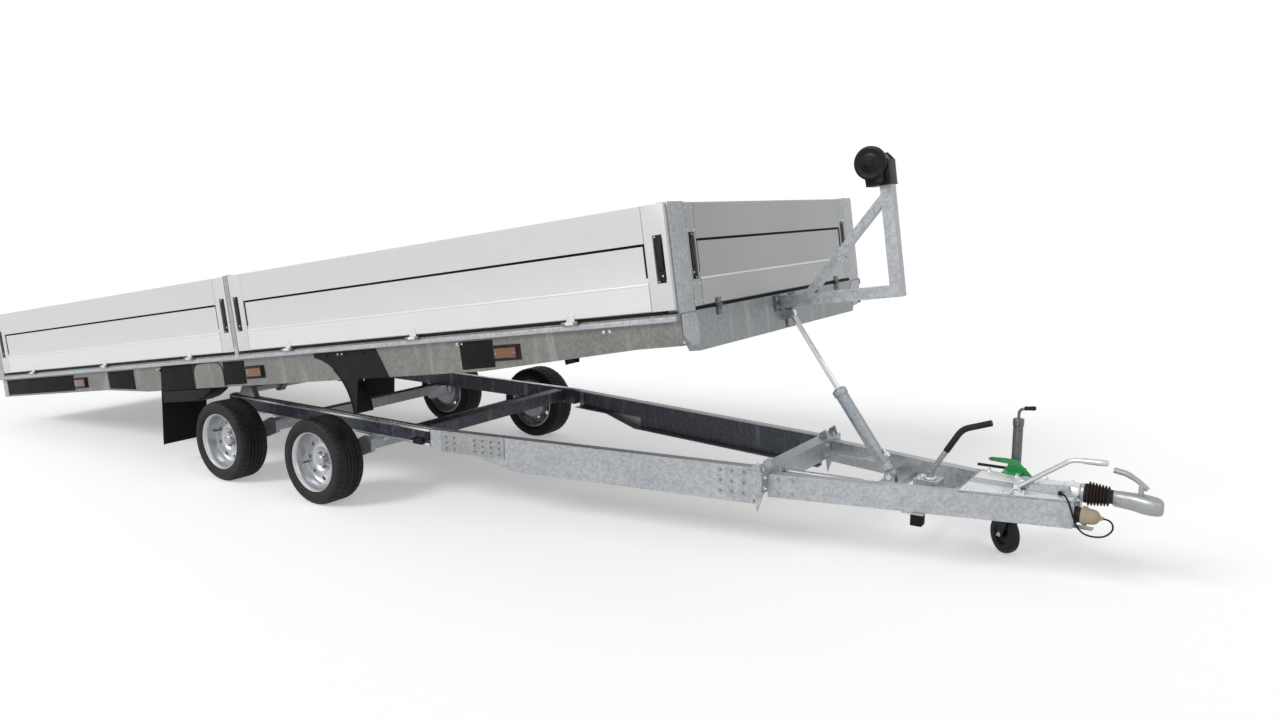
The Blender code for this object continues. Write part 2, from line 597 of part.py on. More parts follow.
# Bed side beams: a folded section, deepest over the wheels, with the lip that carries the hinges
def side_beam(mark, side):
    lows = [(BED_FRONT - back, DECK_Z - depth) for back, depth in SIDE_DEPTHS]
    lows.append((BED_TAIL, lows[-1][1]))
    body = prism(f"side_beam_{mark}", [(BED_TAIL, DECK_Z), (BED_FRONT, DECK_Z)] + lows, "y",
                 *between(side, SIDE_INNER, SIDE_WEB))
    t = SIDE_T
    inner = [(BED_TAIL - 0.01, DECK_Z - t), (BED_FRONT + 0.01, DECK_Z - t), (BED_FRONT + 0.01, lows[0][1] + t)]
    inner += [(x, z + t) for x, z in lows[1:-1]] + [(BED_TAIL - 0.01, lows[-1][1] + t)]
    cut(body, prism(f"side_pocket_{mark}", inner, "y", *between(side, SIDE_INNER - 0.01, SIDE_WEB - t)))
    lip = box(f"side_lip_{mark}", (BED_TAIL, BED_FRONT), between(side, SIDE_WEB - 0.001, BED_W / 2), (DECK_Z - LIP_H, DECK_Z))
    weld(body, lip)
    for k, x in enumerate(side_hinges()):
        weld(body, hinge_ears(f"ears_{mark}_{k}", side_hinge_frame(x, side)))


def end_beams():
    reach, top = SIDE_INNER - TOUCH, DECK_Z
    low = top - FRONT_BEAM_DEPTH
    slant = [(reach, top), (reach, low + SLANT_H), (reach - SLANT_W, low), (-reach + SLANT_W, low),
             (-reach, low + SLANT_H), (-reach, top)]
    front = prism("bed_front_beam", slant, "x", BED_FRONT - END_BEAM_W, BED_FRONT)
    ex, ez, gap = BED_FRONT + RAM_EYE_OUT, RAM_EYE_Z, EYE_W / 2 + LUG_GAP
    for side, mark in SIDES:
        lug = [(BED_FRONT - 0.010, ez - 0.032), (ex + 0.012, ez - 0.020), (ex + 0.022, ez), (ex + 0.012, ez + 0.020),
               (BED_FRONT - 0.010, ez + 0.032)]
        head = [(0, gap + LUG_T - 0.002), (PIN_HEAD_R, gap + LUG_T - 0.002), (PIN_HEAD_R, gap + LUG_T + PIN_HEAD_T),
                (0, gap + LUG_T + PIN_HEAD_T)]
        weld(front, prism(f"eye_lug_{mark}", lug, "y", *between(side, gap, gap + LUG_T)),
             turned(f"eye_pin_{mark}", head, (ex, 0, ez), "y", SEG_SMALL, side))
    cut(front, box("eye_slot", (BED_FRONT - SWING_BACK, BED_FRONT + 0.01), (-gap, gap), (low - 0.01, ez + EYE_R + CLEAR)))
    rear = box("bed_rear_beam", (BED_TAIL, BED_TAIL + END_BEAM_W), (-reach, reach), (top - REAR_BEAM_DEPTH, top))
    for k in (-1, 0, 1):
        weld(rear, hinge_ears(f"tail_ears_{k}", tail_hinge_frame(k * TAIL_PITCH)))


# Welded grid under the floor with the pivot lugs
def underframe():
    x0, x1 = BED_TAIL + END_BEAM_W + TOUCH, BED_FRONT - END_BEAM_W - TOUCH
    z1 = DECK_Z - SIDE_T - TOUCH
    z0, h = z1 - INNER_DEPTH, INNER_W / 2
    grid = box("underframe", (x0, x1), (INNER_Y - h, INNER_Y + h), (z0, z1))
    weld(grid, box("inner_beam_R", (x0, x1), (-INNER_Y - h, -INNER_Y + h), (z0, z1)))
    reach = SIDE_WEB - SIDE_T - TOUCH
    for k in range(BEARER_COUNT):
        x = x0 + BEARER_END + (x1 - x0 - 2 * BEARER_END) * k / (BEARER_COUNT - 1)
        weld(grid, box(f"bearer_{k}", (x - BEARER_W / 2, x + BEARER_W / 2), (-reach, reach),
                       (z1 - 0.002 - BEARER_DEPTH, z1 - 0.002)))
    for side, mark in SIDES:
        lug = [(PIVOT_X - 0.120, z0 + 0.010), (PIVOT_X - 0.050, PIVOT_Z - 0.020), (PIVOT_X - 0.020, PIVOT_Z - 0.050),
               (PIVOT_X + 0.020, PIVOT_Z - 0.050), (PIVOT_X + 0.050, PIVOT_Z - 0.020), (PIVOT_X + 0.120, z0 + 0.010)]
        weld(grid, prism(f"pivot_lug_{mark}", lug, "y", *between(side, INNER_Y - LUG_W / 2, INNER_Y + LUG_W / 2)))
    cut(grid, bar("pivot_bore", (PIVOT_X, -0.6, PIVOT_Z), (PIVOT_X, 0.6, PIVOT_Z), PIVOT_R + 2 * PIN_FIT, SEG_ROUND))


def floor():
    x0, x1 = BED_TAIL + BOARD_T + CLEAR, BED_FRONT - BOARD_T - CLEAR
    y = BED_W / 2 - BOARD_T - 2 * CLEAR
    body = box("floor", (x0, x1), (-y, y), (DECK_Z + TOUCH, DECK_Z + FLOOR_T))
    for name, (x, width, thick) in post_places().items():
        for side, mark in SIDES:
            cut(body, box(f"floor_notch_{name}_{mark}", (x - 2 * TOUCH, x + width + 2 * TOUCH),
                          between(side, BED_W / 2 - thick - 2 * TOUCH, BED_W), (DECK_Z - 0.01, DECK_Z + 0.1)))


# Posts: place along the bed, width, thickness
def post_places():
    mid = (BED_FRONT + BED_TAIL - CENTRE_W) / 2
    return {"front": (BED_FRONT - CORNER_W, CORNER_W, CORNER_T), "centre": (mid, CENTRE_W, CENTRE_T),
            "rear": (BED_TAIL, CORNER_W, CORNER_T)}


def posts(mark, side):
    for name, (x, width, thick) in post_places().items():
        z0, z1 = DECK_Z + TOUCH, BOARD_TOP + CLEAR
        post = box(f"post_{name}_{mark}", (x, x + width), between(side, BED_W / 2 - thick, BED_W / 2), (z0, z1))
        w = POST_WALL
        cut(post, box(f"post_slot_{name}_{mark}", (x + w, x + width - w),
                      between(side, BED_W / 2 - thick - 0.01, BED_W / 2 - w), (z0 + 0.030, z1 - w)))


# Hinges: a pin between two ears on the beam, a knuckle with a leaf on the board
def side_hinges():
    places = post_places()
    rear = (places["rear"][0] + CORNER_W + places["centre"][0]) / 2
    front = (places["centre"][0] + CENTRE_W + places["front"][0]) / 2
    return [mid + k * HINGE_PITCH for mid in (rear, front) for k in (-1, 0, 1)]


def side_hinge_frame(x, side):
    """A frame at the pin: X along it, Y outward."""
    return Matrix(((side, 0, 0, x), (0, side, 0, side * (BED_W / 2 + HINGE_OUT)), (0, 0, 1, DECK_Z), (0, 0, 0, 1)))


def tail_hinge_frame(y):
    return Matrix(((0, -1, 0, BED_TAIL - HINGE_OUT), (1, 0, 0, y), (0, 0, 1, DECK_Z), (0, 0, 0, 1)))


def hinge_ears(name, frame):
    a, b = HINGE_L / 2 + 0.001, HINGE_L / 2 + 0.001 + HINGE_EAR
    r, pin = HINGE_R, HINGE_PIN_R
    ears = turned(name, [(0, -b), (r, -b), (r, -a), (pin, -a), (pin, a), (r, a), (r, b), (0, b)], axis="x", segments=SEG_HINGE)
    for side, mark in SIDES:
        weld(ears, shifted(box(f"{name}_{mark}", between(side, a + 0.002, b - 0.002), (-HINGE_OUT - 0.006, 0.002),
                               (-0.0085, -0.001)), frame))
    return shifted(ears, frame)


def hinge_leaf(name, frame):
    hole, half = HINGE_PIN_R + PIN_FIT, HINGE_L / 2
    ring = turned(name, [(hole, -half), (HINGE_R, -half), (HINGE_R, half), (hole, half)], axis="x", segments=SEG_HINGE)
    leaf = box(f"{name}_leaf", (-half, half), (-HINGE_OUT - 0.001, -HINGE_OUT + 0.003), (0.002, CLEAR + LEAF_H))
    return [shifted(ring, frame), shifted(leaf, frame)]


def shifted(thing, frame):
    thing.data.transform(frame)
    return thing


# Boards: flat edges, a recessed band with a sloped foot, end caps with latch pockets
def board(name, along, lo, hi, face, out):
    z0, z1 = BOARD_LOW, BOARD_TOP
    ins = sorted((face, face - out * BOARD_T))

    def block(tag, a, depth, z):
        skin = sorted((face + out * 0.01, face - out * depth))
        return box(tag, a, skin, z) if along == "x" else box(tag, skin, a, z)

    body = box(name, (lo, hi), ins, (z0, z1)) if along == "x" else box(name, ins, (lo, hi), (z0, z1))
    top, low = z1 - BAND_TOP, z0 + BAND_LOW
    slope = [(face + out * 0.001, top), (face + out * 0.001, low), (face - out * BAND_CUT, low + BAND_SLOPE),
             (face - out * BAND_CUT, top)]
    cut(body, prism(f"{name}_band", slope, along, lo + CAP_W, hi - CAP_W))
    for k, a in enumerate((lo + LATCH_EDGE, hi - LATCH_EDGE - LATCH_W)):
        cut(body, block(f"{name}_latch_{k}", (a, a + LATCH_W), LATCH_CUT, (z1 - LATCH_DROP - LATCH_H, z1 - LATCH_DROP)))
    return body


def side_panels(mark, side):
    places = post_places()
    rear, mid, front = places["rear"][0] + CORNER_W, places["centre"][0], places["front"][0]
    out, hinges = side * BED_W / 2, side_hinges()
    spans = {"rear": (rear + CLEAR, mid - CLEAR, hinges[:3]), "front": (mid + CENTRE_W + CLEAR, front - CLEAR, hinges[3:])}
    for name, (lo, hi, at) in spans.items():
        panel = board(f"panel_{name}_{mark}", "x", lo, hi, out, side)
        for k, x in enumerate(at):
            weld(panel, *hinge_leaf(f"leaf_{name}_{mark}_{k}", side_hinge_frame(x, side)))


def end_boards():
    reach = BED_W / 2 - CORNER_T
    front = board("front_board", "y", -reach + TOUCH, reach - TOUCH, BED_FRONT, 1)
    weld(front, box("board_foot", (BED_FRONT - BOARD_T + 0.004, BED_FRONT - 0.004), (-reach + 0.2, reach - 0.2),
                    (DECK_Z + TOUCH, BOARD_LOW + 0.01)))
    tail = board("tailboard", "y", -reach + CLEAR, reach - CLEAR, BED_TAIL, -1)
    for k in (-1, 0, 1):
        weld(tail, *hinge_leaf(f"tail_leaf_{k}", tail_hinge_frame(k * TAIL_PITCH)))


# Quarter mudguards ahead of the front wheels, flaps behind the rear ones, each with a skirt on the side beam
def mudguards(mark, side):
    top, web = DECK_Z - SIDE_DEPTHS[2][1] - TOUCH, DECK_Z - LIP_H - CLEAR
    outer, inner, rise = TYRE_R + GUARD_GAP, TYRE_R + GUARD_GAP - GUARD_T, TYRE_R + GUARD_RISE
    steps = [math.radians(GUARD_TO * k / 8) for k in range(9)]
    low = [a for a in steps if rise + outer * math.sin(a) < top - 0.010]
    arc = [(outer * math.cos(a), rise + outer * math.sin(a)) for a in steps]
    band = arc[:len(low)]
    back = [(inner * math.cos(a), rise + inner * math.sin(a)) for a in reversed(low)]
    lip = [(band[-1][0], top), (band[-1][0] - 0.060, top), (band[-1][0] - 0.060, top - GUARD_T), (back[0][0], top - GUARD_T)]
    face = SIDE_WEB + TOUCH
    guard = prism(f"mudguard_{mark}", band + lip + back, "y", *between(side, WHEEL_Y - TYRE_W / 2, face + SKIRT_T))
    skirt = arc + [(arc[-1][0], web), (SKIRT_END - SKIRT_LEAN, web), (SKIRT_END, top), (outer + 0.070, top),
                   (outer + 0.018, rise)]
    weld(guard, prism(f"guard_skirt_{mark}", skirt, "y", *between(side, face, face + SKIRT_T)))
    x = -AXLE_GAP - TYRE_R - FLAP_BACK
    shape = [(x, FLAP_LOW), (x + GUARD_T, FLAP_LOW), (x + GUARD_T, top - GUARD_T), (x + 0.060, top - GUARD_T),
             (x + 0.060, top), (x, top)]
    flap = prism(f"mud_flap_{mark}", shape, "y", *between(side, FLAP_IN, face + SKIRT_T))
    weld(flap, box(f"flap_skirt_{mark}", (x, x + FLAP_SKIRT), between(side, face, face + SKIRT_T), (top - GUARD_T, web)))


def tail_lamp(mark, side):
    outer = SIDE_INNER - TOUCH - 0.010
    top = DECK_Z - 0.050
    box(f"tail_lamp_{mark}", (BED_TAIL - LAMP_T, BED_TAIL - TOUCH), between(side, outer - LAMP_W, outer), (top - LAMP_H, top))


# Winch stand: tube forward of the bed, mitred mast, brace back to the board's foot; winch on top
def winch_stand():
    x0, x1, t = BED_FRONT + TOUCH, BED_FRONT + STAND_REACH, STAND_TUBE
    z0 = DECK_Z - STAND_DROP
    top, h = z0 + MAST_H, t / 2
    stand = prism("winch_stand", [(x0, z0), (x1, z0), (x1, top), (x1 - t, top), (x1 - t, z0 + t), (x0, z0 + t)], "y", -h, h)
    brace = [(x0 + BRACE_FOOT, z0 + t - 0.010), (x0 + BRACE_FOOT + BRACE_T * 1.4, z0 + t - 0.010),
             (x1 - t + 0.010, top - 0.030 - BRACE_T * 1.3), (x1 - t + 0.010, top - 0.030)]
    weld(stand, prism("stand_brace", brace, "y", -h + 0.008, h - 0.008))
    w = STAND_WALL
    cut(stand, box("mast_bore", (x1 - t + w, x1 - w), (-h + w, h - w), (top - 0.250, top + 0.01)))
    z, c = top + TOUCH, WINCH_HALF
    body = box("winch_body", (x1 - t - 0.060, x1 + 0.005), (-c - 0.006, c + 0.006), (z, z + WINCH_PLATE_T))
    cheek = [(x1 - 0.120, z + 0.003), (x1 + 0.003, z + 0.003), (x1 + 0.003, z + 0.120), (x1 - 0.030, z + 0.160),
             (x1 - 0.105, z + 0.160), (x1 - 0.130, z + 0.100)]
    cx, cz = x1 - WINCH_BACK, z + WINCH_RISE
    for side, mark in SIDES:
        weld(body, prism(f"winch_cheek_{mark}", cheek, "y", *between(side, c - 0.006, c)))
    cover = [(0, c - 0.003), (COVER_R, c - 0.003), (COVER_R, c + COVER_T - 0.008), (COVER_R - 0.008, c + COVER_T),
             (0.020, c + COVER_T), (0.018, c + COVER_T + 0.008), (0, c + COVER_T + 0.008)]
    weld(body, bar("winch_spool", (cx, -c + 0.002, cz), (cx, c - 0.002, cz), DRUM_SPOOL_R, SEG_ROUND),
         turned("winch_cover", cover, (cx, 0, cz), "y", 28, -1))


# Parenting: the chassis and bed each hang on an empty; moving pieces turn about their own joints
def joint_origins():
    foot, eye, _ = ram_line()
    spots = {"ram_barrel": foot, "ram_rod": foot, "jockey_leg": Vector((JOCKEY_X, JOCKEY_Y, FORK_TOP)),
             "jockey_fork": Vector((JOCKEY_X, JOCKEY_Y, FORK_TOP)),
             "tailboard": Vector((BED_TAIL - HINGE_OUT, 0, DECK_Z))}
    turn = Matrix.Rotation(JOCKEY_TURN, 4, "Z")
    spots["jockey_wheel"] = Vector((JOCKEY_X, JOCKEY_Y, CASTOR_R)) + turn @ Vector((-CASTOR_TRAIL, 0, 0))
    for side, mark in SIDES:
        for end, x in (("front", 0.0), ("rear", -AXLE_GAP)):
            for kind in ("tyre", "rim"):
                spots[f"{kind}_{end}_{mark}"] = Vector((x, side * WHEEL_Y, TYRE_R))
            spots[f"panel_{end}_{mark}"] = Vector((0, side * (BED_W / 2 + HINGE_OUT), DECK_Z))
    return spots


def middle(thing):
    corners = [Vector(c) for c in thing.bound_box]
    return sum(corners, Vector()) / 8


def hang(things, empty, home):
    spots = joint_origins()
    for thing in things:
        spot = spots.get(thing.name, middle(thing))
        thing.data.transform(Matrix.Translation(-spot))
        thing.parent = empty
        thing.location = spot - home


def paint():
    made = {}
    for name, (colour, rough, metal) in MATERIALS.items():
        made[name] = bpy.data.materials.new(name)
        made[name].use_nodes = True
        shader = made[name].node_tree.nodes["Principled BSDF"]
        shader.inputs["Base Color"].default_value = (*colour, 1)
        shader.inputs["Roughness"].default_value = rough
        shader.inputs["Metallic"].default_value = metal
    for thing in bpy.data.objects:
        if thing.type == "MESH" and not thing.hide_render:
            wear = next(m for m, words in WEARS.items() if thing.name.startswith(words))
            thing.data.materials.append(made[wear])


def build_chassis():
    for end, x in (("front", 0.0), ("rear", -AXLE_GAP)):
        axle(end, x)
        for side, mark in SIDES:
            wheel(f"{end}_{mark}", x, side)
    for side, mark in SIDES:
        rail(mark, side)
        front_beam(mark, side)
        drawbar(mark, side)
    for make in (cross_members, ram, pump, coupling, handbrake, jockey):
        make()


def build_bed():
    for side, mark in SIDES:
        for make in (side_beam, posts, side_panels, mudguards, tail_lamp):
            make(mark, side)
    for make in (end_beams, underframe, floor, end_boards, winch_stand):
        make()


def middle_shift():
    """Moves the middle of the whole length over the origin."""
    tail = LEVEL_TO_TILT @ Vector((BED_TAIL, 0, BOARD_TOP + CLEAR))
    return -(tail.x + TIP_X) / 2


def main():
    for old in list(bpy.data.objects):
        bpy.data.objects.remove(old)
    shift = Vector((middle_shift(), 0, 0))
    for name, make, home, lean in (("chassis_frame", build_chassis, Vector(), 0), ("bed_frame", build_bed, PIVOT, -TILT)):
        before = set(bpy.data.objects)
        make()
        things = [o for o in bpy.data.objects if o not in before]
        empty = bpy.data.objects.new(name, None)
        bpy.context.collection.objects.link(empty)
        empty.location, empty.rotation_euler = home + shift, (0, lean, 0)
        hang(things, empty, home)
    paint()


main()
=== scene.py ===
import json
import math

import bmesh
import bpy
from mathutils import Matrix, Vector


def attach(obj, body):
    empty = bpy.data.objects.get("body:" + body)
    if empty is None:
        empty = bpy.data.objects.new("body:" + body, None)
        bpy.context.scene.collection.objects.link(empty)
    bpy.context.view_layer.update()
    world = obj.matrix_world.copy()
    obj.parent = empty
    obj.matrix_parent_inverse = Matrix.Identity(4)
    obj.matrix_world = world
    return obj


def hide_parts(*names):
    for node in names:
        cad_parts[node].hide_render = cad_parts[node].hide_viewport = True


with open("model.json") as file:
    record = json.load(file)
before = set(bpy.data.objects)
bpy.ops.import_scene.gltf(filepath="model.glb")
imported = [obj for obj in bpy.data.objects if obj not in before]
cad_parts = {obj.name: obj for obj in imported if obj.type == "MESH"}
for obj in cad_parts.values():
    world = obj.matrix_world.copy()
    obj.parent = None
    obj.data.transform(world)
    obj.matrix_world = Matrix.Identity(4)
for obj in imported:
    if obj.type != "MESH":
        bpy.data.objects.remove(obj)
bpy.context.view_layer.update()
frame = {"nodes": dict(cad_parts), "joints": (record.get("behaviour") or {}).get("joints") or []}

JOINTS = {joint["name"]: joint for joint in frame["joints"]}

# Places. The front axle is zero lengthwise and the bed is measured level, as in the part.
AXLE = JOINTS["wheel_front_L_spin"]["pos_m"]
WHEEL_Y = abs(AXLE[1])
TYRE_R = AXLE[2]
AXLE_GAP = 0.920
TILT = math.radians(8.1)
PIVOT = Vector((-1.15, 0, 0.52))
CHASSIS = Matrix.Translation((AXLE[0], 0, 0))
TILTED = Matrix.Translation(PIVOT) @ Matrix.Rotation(-TILT, 4, "Y") @ Matrix.Translation(-PIVOT)
BED = CHASSIS @ TILTED

# Sizes shared with the part
BED_FRONT, BED_TAIL, DECK_Z, BED_HALF = 2.616, -3.934, 0.785, 1.075
WEB_Y, LIP_LOW = 1.050, 0.750
BOARD_LOW, BOARD_TOP, BOARD_T = 0.790, 1.275, 0.025
CORNER_T, CENTRE_X, CENTRE_W = 0.055, -0.679, 0.040
PANELS = (("rear", -3.834, -0.684), ("front", -0.634, 2.608))
BOARD_REACH = BED_HALF - CORNER_T
LATCH_W, LATCH_H, LATCH_EDGE, LATCH_TOP = 0.052, 0.215, 0.022, 1.140
HINGE_SPOTS = [mid + k * 1.080 for mid in (-2.259, 0.941) for k in (-1, 0, 1)]
RAIL_Y, RAIL_W = 0.700, 0.060
NOSE_X, NOSE_Y, BAR_TOP = 2.600, 0.400, 0.450
BAR_TIP_X, BAR_TIP_Y = 4.050, 0.085
RAM_FOOT = Vector((3.160, 0, 0.415))
RAM_EYE_LEVEL = Vector((BED_FRONT + 0.035, 0, 0.675))
DRAW_Z, DRAW_END, HEAD_X, TIP_X = 0.475, 4.075, 4.1956, 4.4006
JOCKEY = Vector((3.700, 0.300, 0))
JOCKEY_TURN = math.radians(-40)
STAND_X, MAST_TOP = 3.266, 1.263
SIDES = ((1, "L"), (-1, "R"))
AHEAD, OUTWARD, UP = (1, 0, 0), (0, 1, 0), (0, 0, 1)


# Node materials
def add(tree, kind, values=(), **settings):
    """Adds a node, sets its properties, then sets or links its inputs."""
    node = tree.nodes.new(kind)
    for key, value in settings.items():
        setattr(node, key, value)
    for key, value in dict(values).items():
        if isinstance(value, bpy.types.NodeSocket):
            tree.links.new(value, node.inputs[key])
        else:
            node.inputs[key].default_value = value
    return node


def maths(tree, how, first, second):
    return add(tree, "ShaderNodeMath", {0: first, 1: second}, operation=how).outputs[0]


def ramp(tree, factor, *stops):
    node = add(tree, "ShaderNodeValToRGB", {"Fac": factor})
    for k, (place, colour) in enumerate(stops):
        stop = node.color_ramp.elements[k] if k < 2 else node.color_ramp.elements.new(place)
        stop.position = place
        stop.color = (*colour, 1) if isinstance(colour, tuple) else (colour, colour, colour, 1)
    return node.outputs["Color"]


def blended(tree, factor, first, second, how="MIX"):
    node = add(tree, "ShaderNodeMix", data_type="RGBA", blend_type=how)
    for key, value in ((0, factor), (6, first), (7, second)):
        if isinstance(value, bpy.types.NodeSocket):
            tree.links.new(value, node.inputs[key])
        else:
            node.inputs[key].default_value = value if key == 0 else (*value, 1)
    return node.outputs[2]


def new_material(name, rough=0.5, metal=0.0, turn=0.0, **sockets):
    """A material, its shader and its pattern's place, turned with the bed where the pattern follows it."""
    material = bpy.data.materials.new(name)
    material.use_nodes = True
    tree = material.node_tree
    shader = tree.nodes["Principled BSDF"]
    shader.inputs["Roughness"].default_value = rough
    shader.inputs["Metallic"].default_value = metal
    for key, value in sockets.items():
        shader.inputs[key.replace("_", " ")].default_value = value
    where = add(tree, "ShaderNodeTexCoord").outputs["Object"]
    if turn:
        where = add(tree, "ShaderNodeMapping", {"Vector": where, "Rotation": (0, turn, 0)}).outputs["Vector"]
    return material, tree, shader, where


def noise(tree, where, scale, detail=3.0, rough=0.55, stretch=None):
    if stretch:
        where = add(tree, "ShaderNodeMapping", {"Vector": where, "Scale": stretch}).outputs["Vector"]
    return add(tree, "ShaderNodeTexNoise",
               {"Vector": where, "Scale": scale, "Detail": detail, "Roughness": rough}).outputs["Fac"]


def bump(tree, shader, height, strength, depth):
    node = add(tree, "ShaderNodeBump", {"Height": height, "Strength": strength, "Distance": depth})
    tree.links.new(node.outputs["Normal"], shader.inputs["Normal"])


def connect(tree, shader, colour, rough):
    """Links one pattern to the shader's colour and another to its roughness."""
    tree.links.new(colour, shader.inputs["Base Color"])
    tree.links.new(rough, shader.inputs["Roughness"])


def galvanised(name, dark, light, turn=0.0):
    """Hot-dip zinc: crystals of several greys, dull streaks and a faint bloom."""
    material, tree, shader, where = new_material(name, metal=0.55, turn=turn)
    wander = add(tree, "ShaderNodeTexNoise", {"Vector": where, "Scale": 9.0, "Detail": 2.0}).outputs["Color"]
    bent = add(tree, "ShaderNodeVectorMath", {0: wander, 3: 0.05}, operation="SCALE").outputs["Vector"]
    bent = add(tree, "ShaderNodeVectorMath", {0: where, 1: bent}, operation="ADD").outputs["Vector"]
    cells = add(tree, "ShaderNodeTexVoronoi", {"Vector": bent, "Scale": 80.0})
    grey = add(tree, "ShaderNodeSeparateColor", {"Color": cells.outputs["Color"]}).outputs["Red"]
    zinc = ramp(tree, grey, (0.0, dark), (1.0, light))
    cloud = ramp(tree, noise(tree, where, 3.2, 5.0), (0.35, 0.80), (0.68, 1.0))
    zinc = blended(tree, 0.5, zinc, cloud, "MULTIPLY")
    streak = ramp(tree, noise(tree, where, 5.0, 4.0, 0.6, (3.0, 3.0, 0.4)), (0.55, 0.0), (0.78, 1.0))
    zinc = blended(tree, maths(tree, "MULTIPLY", streak, 0.30), zinc, (0.66, 0.67, 0.66))
    connect(tree, shader, zinc, ramp(tree, grey, (0.0, 0.34), (1.0, 0.52)))
    bump(tree, shader, noise(tree, where, 110.0, 2.0), 0.12, 0.001)
    return material


LENGTHWISE, ACROSS = (1.2, 90.0, 90.0), (90.0, 1.2, 90.0)


def extruded(name, tone, turn=0.0, scale=LENGTHWISE):
    """Mill-finished aluminium sections with lines along their length and a little road film."""
    material, tree, shader, where = new_material(name, metal=0.35, turn=turn)
    lines = noise(tree, where, 4.0, 3.0, 0.6, scale)
    film = noise(tree, where, 2.4, 5.0)
    base = ramp(tree, lines, (0.25, tuple(c * 0.93 for c in tone)), (0.75, tone))
    base = blended(tree, ramp(tree, film, (0.50, 0.0), (0.80, 0.30)), base, (0.60, 0.60, 0.58))
    connect(tree, shader, base, ramp(tree, film, (0.3, 0.34), (0.7, 0.48)))
    bump(tree, shader, lines, 0.10, 0.0005)
    return material


def moulded(name, tone, rough=0.55, grain=420.0, dust=0.25):
    """Moulded plastic or rubber: fine grain, uneven gloss and dust that settles in patches."""
    material, tree, shader, where = new_material(name, Specular_IOR_Level=0.18)
    patches = noise(tree, where, 5.0, 5.0)
    colour = blended(tree, ramp(tree, patches, (0.48, 0.0), (0.80, dust)), tone, (0.20, 0.19, 0.17))
    connect(tree, shader, colour, ramp(tree, patches, (0.3, rough), (0.75, min(rough + 0.2, 1.0))))
    bump(tree, shader, noise(tree, where, grain, 2.0), 0.25, 0.0006)
    return material


def plated(name, tone, rough=0.3, metal=0.85, mark=(0.35, 0.34, 0.32)):
    """Bright plating or lacquer with smudges and small dull marks."""
    material, tree, shader, where = new_material(name, metal=metal)
    smudge = noise(tree, where, 14.0, 4.0)
    specks = ramp(tree, noise(tree, where, 120.0, 2.0), (0.66, 0.0), (0.74, 0.5))
    connect(tree, shader, blended(tree, specks, tone, mark),
            ramp(tree, smudge, (0.3, max(rough - 0.08, 0.03)), (0.7, rough + 0.10)))
    bump(tree, shader, smudge, 0.05, 0.0005)
    return material


def painted(name, tone, rough=0.35, coat=0.3, shine=0.5):
    """Lacquered paint, clouded and chipped to the primer."""
    material, tree, shader, where = new_material(name, Coat_Weight=coat, Coat_Roughness=0.15,
                                                 Specular_IOR_Level=shine)
    cloud = noise(tree, where, 7.0, 4.0)
    chips = ramp(tree, noise(tree, where, 60.0, 5.0, 0.7), (0.70, 0.0), (0.72, 1.0))
    base = ramp(tree, cloud, (0.3, tuple(c * 0.8 for c in tone)), (0.7, tone))
    connect(tree, shader, blended(tree, chips, base, (0.34, 0.34, 0.33)),
            ramp(tree, cloud, (0.3, rough), (0.7, rough + 0.15)))
    bump(tree, shader, noise(tree, where, 160.0, 2.0), 0.06, 0.0005)
    return material


def tyre_rubber(name):
    """Black rubber, greyer in random patches, with a fine bumpy grain."""
    material, tree, shader, where = new_material(name, Specular_IOR_Level=0.22)
    dust = noise(tree, where, 9.0, 6.0)
    colour = ramp(tree, dust, (0.35, (0.009, 0.009, 0.010)), (0.75, (0.038, 0.037, 0.035)))
    connect(tree, shader, colour, ramp(tree, dust, (0.3, 0.50), (0.8, 0.82)))
    bump(tree, shader, noise(tree, where, 300.0, 3.0), 0.3, 0.0008)
    return material


def lens(name, tone, deep):
    """A clear coloured lens with small prisms."""
    material, tree, shader, where = new_material(name, rough=0.12, Coat_Weight=0.5, Coat_Roughness=0.05)
    cells = add(tree, "ShaderNodeTexVoronoi", {"Vector": where, "Scale": 190.0},
                distance="CHEBYCHEV").outputs["Distance"]
    tree.links.new(ramp(tree, cells, (0.0, tone), (0.8, deep)), shader.inputs["Base Color"])
    bump(tree, shader, cells, 0.5, 0.001)
    return material


def phenolic(name, turn):
    """Film-faced plywood: a dark brown film, a small raised mesh and scuffs along the bed."""
    material, tree, shader, where = new_material(name, turn=turn)
    cells = add(tree, "ShaderNodeTexVoronoi", {"Vector": where, "Scale": 210.0},
                feature="DISTANCE_TO_EDGE").outputs["Distance"]
    scuff = noise(tree, where, 3.5, 6.0, 0.65, (0.5, 4.0, 4.0))
    base = ramp(tree, scuff, (0.30, (0.055, 0.030, 0.020)), (0.60, (0.105, 0.062, 0.042)),
                (0.85, (0.22, 0.17, 0.13)))
    connect(tree, shader, base, ramp(tree, scuff, (0.3, 0.35), (0.8, 0.65)))
    bump(tree, shader, ramp(tree, cells, (0.02, 1.0), (0.10, 0.0)), 0.35, 0.0008)
    return material


def webbing(name, tone):
    material, tree, shader, where = new_material(name, rough=0.8)
    weave = add(tree, "ShaderNodeTexWave",
                {"Vector": where, "Scale": 260.0, "Distortion": 0.4}).outputs["Fac"]
    across = add(tree, "ShaderNodeTexWave", {"Vector": where, "Scale": 260.0},
                 bands_direction="Y").outputs["Fac"]
    threads = blended(tree, 0.5, weave, across)
    tree.links.new(ramp(tree, threads, (0.2, tuple(c * 0.6 for c in tone)), (0.8, tone)),
                   shader.inputs["Base Color"])
    bump(tree, shader, threads, 0.5, 0.0008)
    return material


